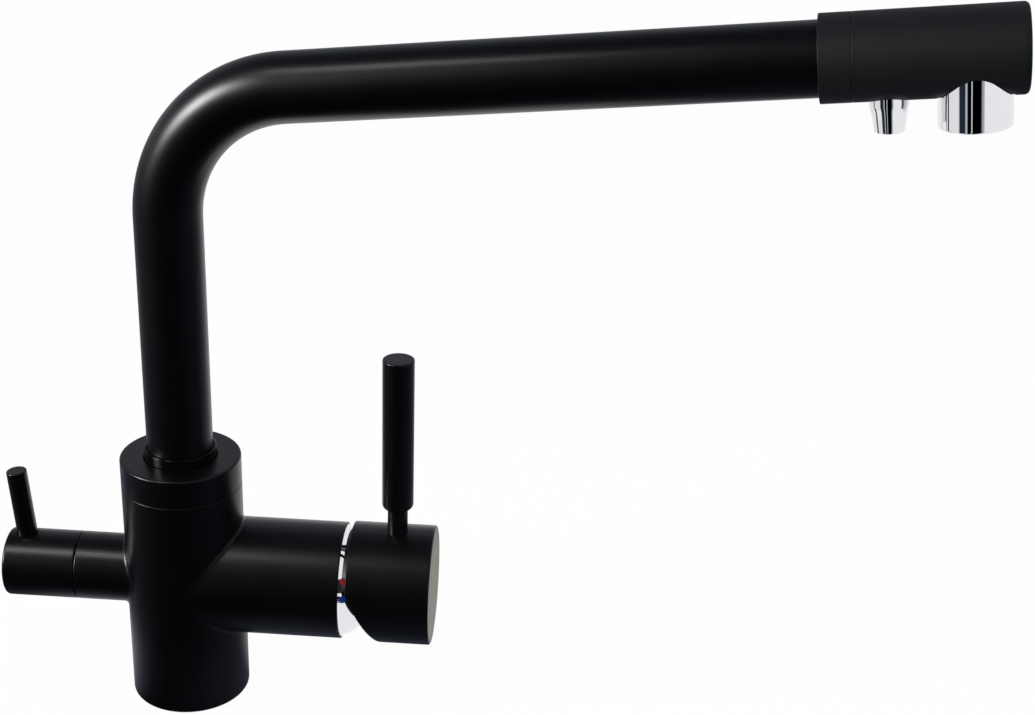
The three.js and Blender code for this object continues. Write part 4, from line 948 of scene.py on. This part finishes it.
class TAP_OT_handle(bpy.types.Operator):
    """Turns the mixer's round handle, hollows it for the dome and slants it below."""

    bl_idname = "tap.make_handle"
    bl_label = "Mixer handle"

    def execute(self, context):
        mixer = sizes("mixer")
        fineness = sizes("fineness")
        radius = mixer.radius
        piece = turned(
            "mixer_handle_shell", [(radius, mixer.mouth), (radius, mixer.end)], fineness.large)
        round_edges(piece, on_ring(radius, mixer.end), mixer.edge)
        bpy.ops.object.select_all(action="DESELECT")
        bpy.ops.mesh.primitive_uv_sphere_add(
            segments=fineness.large, ring_count=fineness.middle, radius=mixer.dome + 2 * GAP,
            location=(0, 0, mixer.pivot))
        bpy.ops.object.transform_apply()
        combine(piece, bpy.context.object, "DIFFERENCE")
        combine(piece, self.wedge(), "DIFFERENCE")
        socket = rod(
            mixer.neck + SEAM, (mixer.lever_seat - GAP, 0, mixer.lever),
            (radius + FAR, 0, mixer.lever), fineness.small)
        combine(piece, socket, "DIFFERENCE")
        round_edges(piece, self.on_mouth, THIN_EDGE, steps=3)
        place(piece, side_frame(1))
        finish_piece(piece, "coated_black", "mixer_lever", "mixer_handle")
        return {"FINISHED"}

    @staticmethod
    def wedge():
        """A block whose lower face is the slanted cut."""
        mixer = sizes("mixer")
        size = 4 * mixer.radius
        bpy.ops.object.select_all(action="DESELECT")
        bpy.ops.mesh.primitive_cube_add(size=size, location=(-size / 2, 0, -size / 2))
        tool = bpy.context.object
        bpy.ops.object.transform_apply()
        where = Matrix.Translation((mixer.relief_top, 0, mixer.mouth))
        return place(tool, where @ Matrix.Rotation(mixer.relief, 4, "Y"))

    @staticmethod
    def on_mouth(edge):
        """On the outer rim of the mouth and of the slanted cut."""
        mixer = sizes("mixer")
        slope = math.tan(mixer.relief)
        near = 4 * HAIR
        for corner in edge.verts:
            x, y, z = corner.co
            cut = mixer.mouth + max(0, (mixer.relief_top - x) * slope)
            if abs(math.hypot(x, y) - mixer.radius) > near or abs(z - cut) > near:
                return False
        return True


class TAP_OT_lever(bpy.types.Operator):
    """Turns the lever: a thin neck and a thicker grip with a flat tip."""

    bl_idname = "tap.make_lever"
    bl_label = "Lever"

    def execute(self, context):
        mixer = sizes("mixer")
        sides = sizes("fineness").small
        top = mixer.lever_top - sizes("body").arm_height
        piece = turned("lever_rod_grip", [
            (mixer.neck, mixer.lever_seat), (mixer.neck, mixer.neck_top),
            (mixer.grip, mixer.neck_top), (mixer.grip, top)], sides)
        round_edges(piece, on_ring(mixer.grip, mixer.neck_top), mixer.grip_edge, steps=8)
        round_edges(piece, on_ring(mixer.neck, mixer.neck_top), THIN_EDGE)
        round_edges(piece, on_ring(mixer.grip, top), mixer.tip_edge)
        place(piece, Matrix.Translation((mixer.lever, 0, sizes("body").arm_height)))
        finish_piece(piece, "coated_black", "mixer_lever", "lever_rod")
        return {"FINISHED"}


class TAP_OT_filter(bpy.types.Operator):
    """Turns the filter's knob and the pin that stands in it."""

    bl_idname = "tap.make_filter_control"
    bl_label = "Filter knob and pin"

    def execute(self, context):
        knob = sizes("filter")
        body = sizes("body")
        fineness = sizes("fineness")
        radius = body.filter_radius
        piece = turned("filter_knob_shell", [
            (knob.spindle, knob.cavity_end), (knob.cavity, knob.cavity_end),
            (knob.cavity, knob.start), (radius, knob.start), (radius, knob.end),
        ], fineness.large)
        round_edges(piece, on_ring(radius, knob.end), knob.edge, steps=6)
        round_edges(piece, on_ring(radius, knob.start), body.knob_groove)
        bore = rod(
            knob.spindle, (0, 0, knob.cavity_end - FAR), (0, 0, knob.spindle_end),
            fineness.small)
        combine(piece, bore, "DIFFERENCE")
        hole = turned("hole", [
            (knob.pin_radius + GAP, knob.pin_seat), (knob.pin_radius + GAP, 2 * knob.pin_seat)],
            fineness.small)
        combine(piece, place(hole, self.pin_frame()), "DIFFERENCE")
        place(piece, side_frame(-1))
        finish_piece(piece, "coated_black", "filter_control", "filter_knob")

        foot = knob.pin_seat + GAP
        pin = turned("filter_pin_rod", [
            (knob.pin_tail, knob.pin_foot), (knob.pin_tail, foot), (knob.pin_radius, foot),
            (knob.pin_radius, knob.pin_top)], fineness.small)
        round_edges(pin, on_ring(knob.pin_radius, knob.pin_top), knob.pin_edge)
        place(pin, side_frame(-1) @ self.pin_frame())
        finish_piece(pin, "coated_black", "filter_control", "filter_pin")
        return {"FINISHED"}

    @staticmethod
    def pin_frame():
        """In the barrel's frame: +Z along the pin, which leans outwards."""
        knob = sizes("filter")
        return Matrix.Translation((0, 0, knob.pin)) @ Matrix.Rotation(
            math.pi / 2 - knob.lean, 4, "Y")


class TAP_OT_inner(bpy.types.Operator):
    """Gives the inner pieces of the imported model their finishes."""

    bl_idname = "tap.finish_inner_pieces"
    bl_label = "Inner pieces"

    def execute(self, context):
        slots = {row["node"]: row["material_slot"] for row in frame["record"]["subparts"]}
        for node, piece in frame["nodes"].items():
            piece.data.materials.clear()
            piece.data.materials.append(finish_of(slots[node]))
        return {"FINISHED"}


# ---- Stage -------------------------------------------------------------------------------
# Tones of painted reflections, shown only to glossy rays. Each is a list of degrees and grey, and a
# ramp joins them. The floor's go by the direction from a point on it, from the way to the front,
# positive towards +X. The room's go by height, over the tap from the horizon in front to the one
# behind.
PAINTED_FOOT_REFLECTION = (
    (-165, 1.0), (-112, 0.75), (-99, 0.5), (-74, 0.2), (-47, 0.02), (-20, 0.0), (18, 0.04),
    (49, 0.1), (109, 0.12), (125, 0.4), (165, 1.0))
PAINTED_COAT_REFLECTION = (
    (-165, 0.9), (-146, 0.3), (-112, 0.14), (-99, 0.09), (-74, 0.03), (-47, 0.0), (18, 0.0),
    (49, 0.03), (84, 0.07), (109, 0.12), (130, 0.3), (150, 0.9))
PAINTED_CHROME_REFLECTION = (
    (-134, 1.0), (-133, 0.05), (-131, 1.0), (-110, 1.0), (-108, 0.03), (-105, 0.9),
    (-60, 0.9), (-57, 0.02), (-39, 0.02), (-38, 0.5), (-33, 0.5), (-32, 0.0), (-21, 0.0),
    (-20, 0.8), (-18, 0.8), (-17, 0.0), (8, 0.0), (11, 0.3), (17, 0.5), (19, 1.0))
PAINTED_ROOM_REFLECTION = (
    (-1, 0.0), (28, 0.0), (36, 0.08), (57, 0.08), (68, 0.04), (100, 0.03), (128, 0.1),
    (142, 0.28), (160, 0.28), (172, 0.35), (179, 1.0))
WHITE = (1, 1, 1, 1)
# Tones of a painted pale patch beside the mixer, a painted wall and a painted dark band, shown only
# in reflections.
PAINTED_CARD_TONE = (0.78, 0.76, 0.7, 1)
PAINTED_WALL_TONE = (0.3, 0.3, 0.32, 1)
PAINTED_BAND_TONE = (0.02, 0.02, 0.02, 1)

# Where such a painted area starts to change and where it has changed: on the floor in metres from
# the column's axis, or from the handle's mouth, and in the room as part of the direction.
FOOT_ENDS = (0.045, 0.085)
PAINTED_CARD_ALONG, PAINTED_CARD_BEHIND, PAINTED_CARD_REACH = (0.08, 0.095), (0.02, 0.04), (0.22, 0.18)
PAINTED_STRIPS_START = (0.16, 0.2)
PAINTED_WALL_SIDE = (0.0, 0.5)
PAINTED_BAND_HEIGHT, PAINTED_BAND_SIDE, PAINTED_BAND_FRONT = (0.46, 0.4), (0.22, 0.3), (-0.2, -0.28)
PAINTED_STRIPS_CENTRE = (0.27, -0.04, 0)

FLOOR_WIDTH = 12
FLOOR_HEIGHT = -0.05 * MM
# Each lamp's name, place, aim, width in metres, spread in degrees and power in watts.
LAMPS = (
    ("key", (-0.99, -0.44, 0.62), (0.02, 0, 0.24), 0.75, 30, 1.5),
    ("top", (-0.42, -0.44, 1.1), (0.02, 0, 0.04), 0.3, 22, 0.045),
)


def tones_by_angle(tree, turn, tones):
    """A grey of a painted reflection as a ramp over an angle, a little bluer where it is darker."""
    share = add(tree, "ShaderNodeMapRange", {
        "Value": turn, "From Min": -math.pi, "From Max": math.pi})
    ramp = add(tree, "ShaderNodeValToRGB", {"Fac": share.outputs["Result"]})
    stops = ramp.color_ramp.elements
    for i, (degrees, tone) in enumerate(tones):
        position = (degrees + 180) / 360
        stop = stops[0] if i == 0 else stops.new(position)
        stop.position = position
        stop.color = (tone, tone ** 0.94, tone ** 0.82, 1)
    stops[-1].color = stops[-2].color  # the new ramp's own last stop, at its end
    return ramp.outputs["Color"]


def negative(tree, value):
    """A value with its sign changed."""
    return add(tree, "ShaderNodeMath", {0: value, 1: -1.0}, operation="MULTIPLY").outputs[0]


def angle_of(tree, rise, run):
    """The angle of a slope, from -180 to 180 degrees, in radians."""
    return add(tree, "ShaderNodeMath", {0: rise, 1: run}, operation="ARCTAN2").outputs[0]


def floor_tone(tree, where, centre, tones):
    """A painted reflection tone of the floor by the direction from a point on it."""
    away = add(tree, "ShaderNodeVectorMath", {0: where, 1: centre}, operation="SUBTRACT")
    part = add(tree, "ShaderNodeSeparateXYZ", {"Vector": away.outputs["Vector"]})
    front = negative(tree, part.outputs["Y"])
    return tones_by_angle(tree, angle_of(tree, part.outputs["X"], front), tones)


def blend(tree, share, first, second):
    """A mix of two colours."""
    return add(tree, "ShaderNodeMix", {0: share, 6: first, 7: second},
               data_type="RGBA").outputs[2]


def soft_step(tree, value, ends):
    """From 0 to 1 as a value goes from one end to the other."""
    start, end = ends
    return add(tree, "ShaderNodeMapRange", {
        "Value": value, "From Min": start, "From Max": end},
        interpolation_type="SMOOTHSTEP").outputs["Result"]


def product(tree, *factors):
    """Several values multiplied."""
    whole = factors[0]
    for factor in factors[1:]:
        whole = add(tree, "ShaderNodeMath", {0: whole, 1: factor}, operation="MULTIPLY").outputs[0]
    return whole


class TAP_OT_stage(bpy.types.Operator):
    """Sets up the floor, the room, the lamps and the camera."""

    bl_idname = "tap.make_stage"
    bl_label = "Stage"

    def execute(self, context):
        self.floor()
        self.world()
        self.lights()
        self.camera()
        context.scene.view_settings.view_transform = "Standard"
        return {"FINISHED"}

    @staticmethod
    def floor():
        """A pale floor. To glossy rays alone it shows painted reflections: for the coat bright
        behind the tap, close to its foot and on a pale patch beside the mixer, and a painted dark
        area before it, in place of the black sheet a photographer lays to keep a black object
        black; for the chrome narrow black stripes, but white close to the mixer."""
        bpy.ops.object.select_all(action="DESELECT")
        bpy.ops.mesh.primitive_plane_add(size=FLOOR_WIDTH, location=(0, 0, FLOOR_HEIGHT))
        floor = bpy.context.object
        floor.name = "floor"
        bpy.ops.object.transform_apply()
        material, tree, where = new_material("pale_floor")
        ray = add(tree, "ShaderNodeLightPath")
        # Painted reflection for the chrome: narrow black stripes by direction, fading to white
        # close to the mixer.
        painted_strips = floor_tone(tree, where, PAINTED_STRIPS_CENTRE, PAINTED_CHROME_REFLECTION)
        away = add(tree, "ShaderNodeVectorMath", {
            0: where, 1: (sizes("mixer").mouth, 0, 0)}, operation="DISTANCE")
        far = soft_step(tree, away.outputs["Value"], PAINTED_STRIPS_START)
        out = add(tree, "ShaderNodeVectorMath", {0: where}, operation="LENGTH").outputs["Value"]
        # Painted reflection for the coat: a painted dark area before the tap, lighter behind it and
        # close to its foot.
        painted_cloth_reflection = blend(
            tree, soft_step(tree, out, FOOT_ENDS),
            floor_tone(tree, where, (0, 0, 0), PAINTED_FOOT_REFLECTION),
            floor_tone(tree, where, (0, 0, 0), PAINTED_COAT_REFLECTION))
        # A painted pale patch beside the mixer, shown only in the coat's reflections.
        part = add(tree, "ShaderNodeSeparateXYZ", {"Vector": where})
        painted_card_mask = product(
            tree, soft_step(tree, part.outputs["X"], PAINTED_CARD_ALONG),
            soft_step(tree, part.outputs["Y"], PAINTED_CARD_BEHIND), soft_step(tree, out, PAINTED_CARD_REACH))
        tone = blend(
            tree, ray.outputs["Is Singular Ray"], blend(tree, painted_card_mask, painted_cloth_reflection, PAINTED_CARD_TONE),
            blend(tree, far, WHITE, painted_strips))
        matte = add(tree, "ShaderNodeBsdfDiffuse", {"Color": (*sizes("stage").floor, 1)})
        white = add(tree, "ShaderNodeEmission", {"Color": WHITE, "Strength": 1.0})
        lit = add(tree, "ShaderNodeMixShader", {
            0: sizes("stage").floor_glow, 1: matte.outputs[0], 2: white.outputs[0]})
        # Glossy rays are shown the painted reflections instead of the lit floor.
        painted_reflection = add(tree, "ShaderNodeEmission", {"Color": tone, "Strength": 1.0})
        mixed = add(tree, "ShaderNodeMixShader", {
            0: ray.outputs["Is Camera Ray"], 1: matte.outputs[0], 2: lit.outputs[0]})
        last = add(tree, "ShaderNodeMixShader", {
            0: ray.outputs["Is Glossy Ray"], 1: mixed.outputs[0], 2: painted_reflection.outputs[0]})
        add(tree, "ShaderNodeOutputMaterial", {"Surface": last.outputs[0]})
        floor.data.materials.append(material)

    @staticmethod
    def world():
        """White to the camera. To glossy rays alone it shows painted reflections: for the coat a
        dim room with a painted soft light over the camera and a painted wall on the right; for the
        chrome white, but for a painted dark band low in front on the right. Everything else is lit
        evenly."""
        world = bpy.data.worlds.new("studio")
        bpy.context.scene.world = world
        world.use_nodes = True
        tree = world.node_tree
        tree.nodes.clear()
        ray = add(tree, "ShaderNodeLightPath")
        aim = add(tree, "ShaderNodeTexCoord").outputs["Generated"]
        part = add(tree, "ShaderNodeSeparateXYZ", {"Vector": aim})
        x, y, z = (part.outputs[axis] for axis in "XYZ")
        # Painted reflection for the coat: a dim room with a painted soft light over the camera, by
        # height.
        room = tones_by_angle(tree, angle_of(tree, z, negative(tree, y)), PAINTED_ROOM_REFLECTION)
        # Painted dark band for the chrome, low in front on the right.
        band = product(
            tree, soft_step(tree, z, PAINTED_BAND_HEIGHT), soft_step(tree, x, PAINTED_BAND_SIDE),
            soft_step(tree, y, PAINTED_BAND_FRONT))
        bright = blend(tree, band, WHITE, PAINTED_BAND_TONE)
        plain = add(tree, "ShaderNodeMix", {
            0: ray.outputs["Is Camera Ray"], 2: sizes("stage").ambient, 3: 1.0})
        # Painted grey wall on the right in the coat's reflections.
        dim = blend(tree, soft_step(tree, x, PAINTED_WALL_SIDE), room, PAINTED_WALL_TONE)
        painted_reflection = blend(tree, ray.outputs["Is Singular Ray"], dim, bright)
        tone = blend(tree, ray.outputs["Is Glossy Ray"], plain.outputs[0], painted_reflection)
        sky = add(tree, "ShaderNodeBackground", {"Color": tone})
        add(tree, "ShaderNodeOutputWorld", {"Surface": sky.outputs[0]})

    @staticmethod
    def lights():
        """Round lamps with a narrow spread: they make the highlights and leave the rest dark."""
        for name, where, aim, width, spread_degrees, power in LAMPS:
            lamp = bpy.data.lights.new(name, "AREA")
            lamp.shape = "DISK"
            lamp.size = width
            lamp.spread = math.radians(spread_degrees)
            lamp.energy = power
            light = bpy.data.objects.new(name, lamp)
            bpy.context.scene.collection.objects.link(light)
            light.location = where
            light.rotation_euler = (Vector(aim) - Vector(where)).to_track_quat("-Z", "Y").to_euler()

    @staticmethod
    def camera():
        """The photograph's camera, as fitted to the outlines of the tap."""
        stage = sizes("stage")
        lens = bpy.data.cameras.new("camera")
        lens.lens = stage.lens
        lens.sensor_width = 36
        lens.shift_x = stage.shift_x
        lens.shift_y = stage.shift_y
        lens.clip_start = 10 * MM
        eye = bpy.data.objects.new("camera", lens)
        bpy.context.scene.collection.objects.link(eye)
        forward = Vector((
            -math.sin(stage.heading) * math.cos(stage.pitch),
            math.cos(stage.heading) * math.cos(stage.pitch), -math.sin(stage.pitch)))
        level = Vector((math.cos(stage.heading), math.sin(stage.heading), 0))
        down = forward.cross(level)
        right = level * math.cos(stage.roll) + down * math.sin(stage.roll)
        up = level * math.sin(stage.roll) - down * math.cos(stage.roll)
        eye.matrix_world = frame_of(right, up, -forward, stage.eye)
        bpy.context.scene.camera = eye


class TAP_PT_panel(bpy.types.Panel):
    """The tap's pieces, in the order in which they are built."""

    bl_idname = "TAP_PT_panel"
    bl_label = "Filtered water tap"
    bl_space_type = "VIEW_3D"
    bl_region_type = "UI"
    bl_category = "Tap"

    def draw(self, context):
        for operator in OPERATORS:
            self.layout.operator(operator.bl_idname)


GROUPS = {
    "body": TapBodySizes, "spout": TapSpoutSizes, "mixer": TapMixerSizes,
    "filter": TapFilterSizes, "finishes": TapFinishes, "fineness": TapFineness,
    "stage": TapStage,
}
OPERATORS = (
    TAP_OT_body, TAP_OT_collar, TAP_OT_tube, TAP_OT_head, TAP_OT_outlets, TAP_OT_dome,
    TAP_OT_handle, TAP_OT_lever, TAP_OT_filter, TAP_OT_inner, TAP_OT_stage,
)


def register():
    for group in (*GROUPS.values(), *OPERATORS, TAP_PT_panel):
        bpy.utils.register_class(group)
    for name, group in GROUPS.items():
        setattr(bpy.types.Scene, "tap_" + name, PointerProperty(type=group))


def unregister():
    for name in GROUPS:
        delattr(bpy.types.Scene, "tap_" + name)
    for group in (TAP_PT_panel, *reversed(OPERATORS), *reversed(GROUPS.values())):
        bpy.utils.unregister_class(group)


def main():
    register()
    for operator in OPERATORS:
        getattr(bpy.ops.tap, operator.bl_idname.split(".")[1])()


if __name__ == "__main__":
    main()
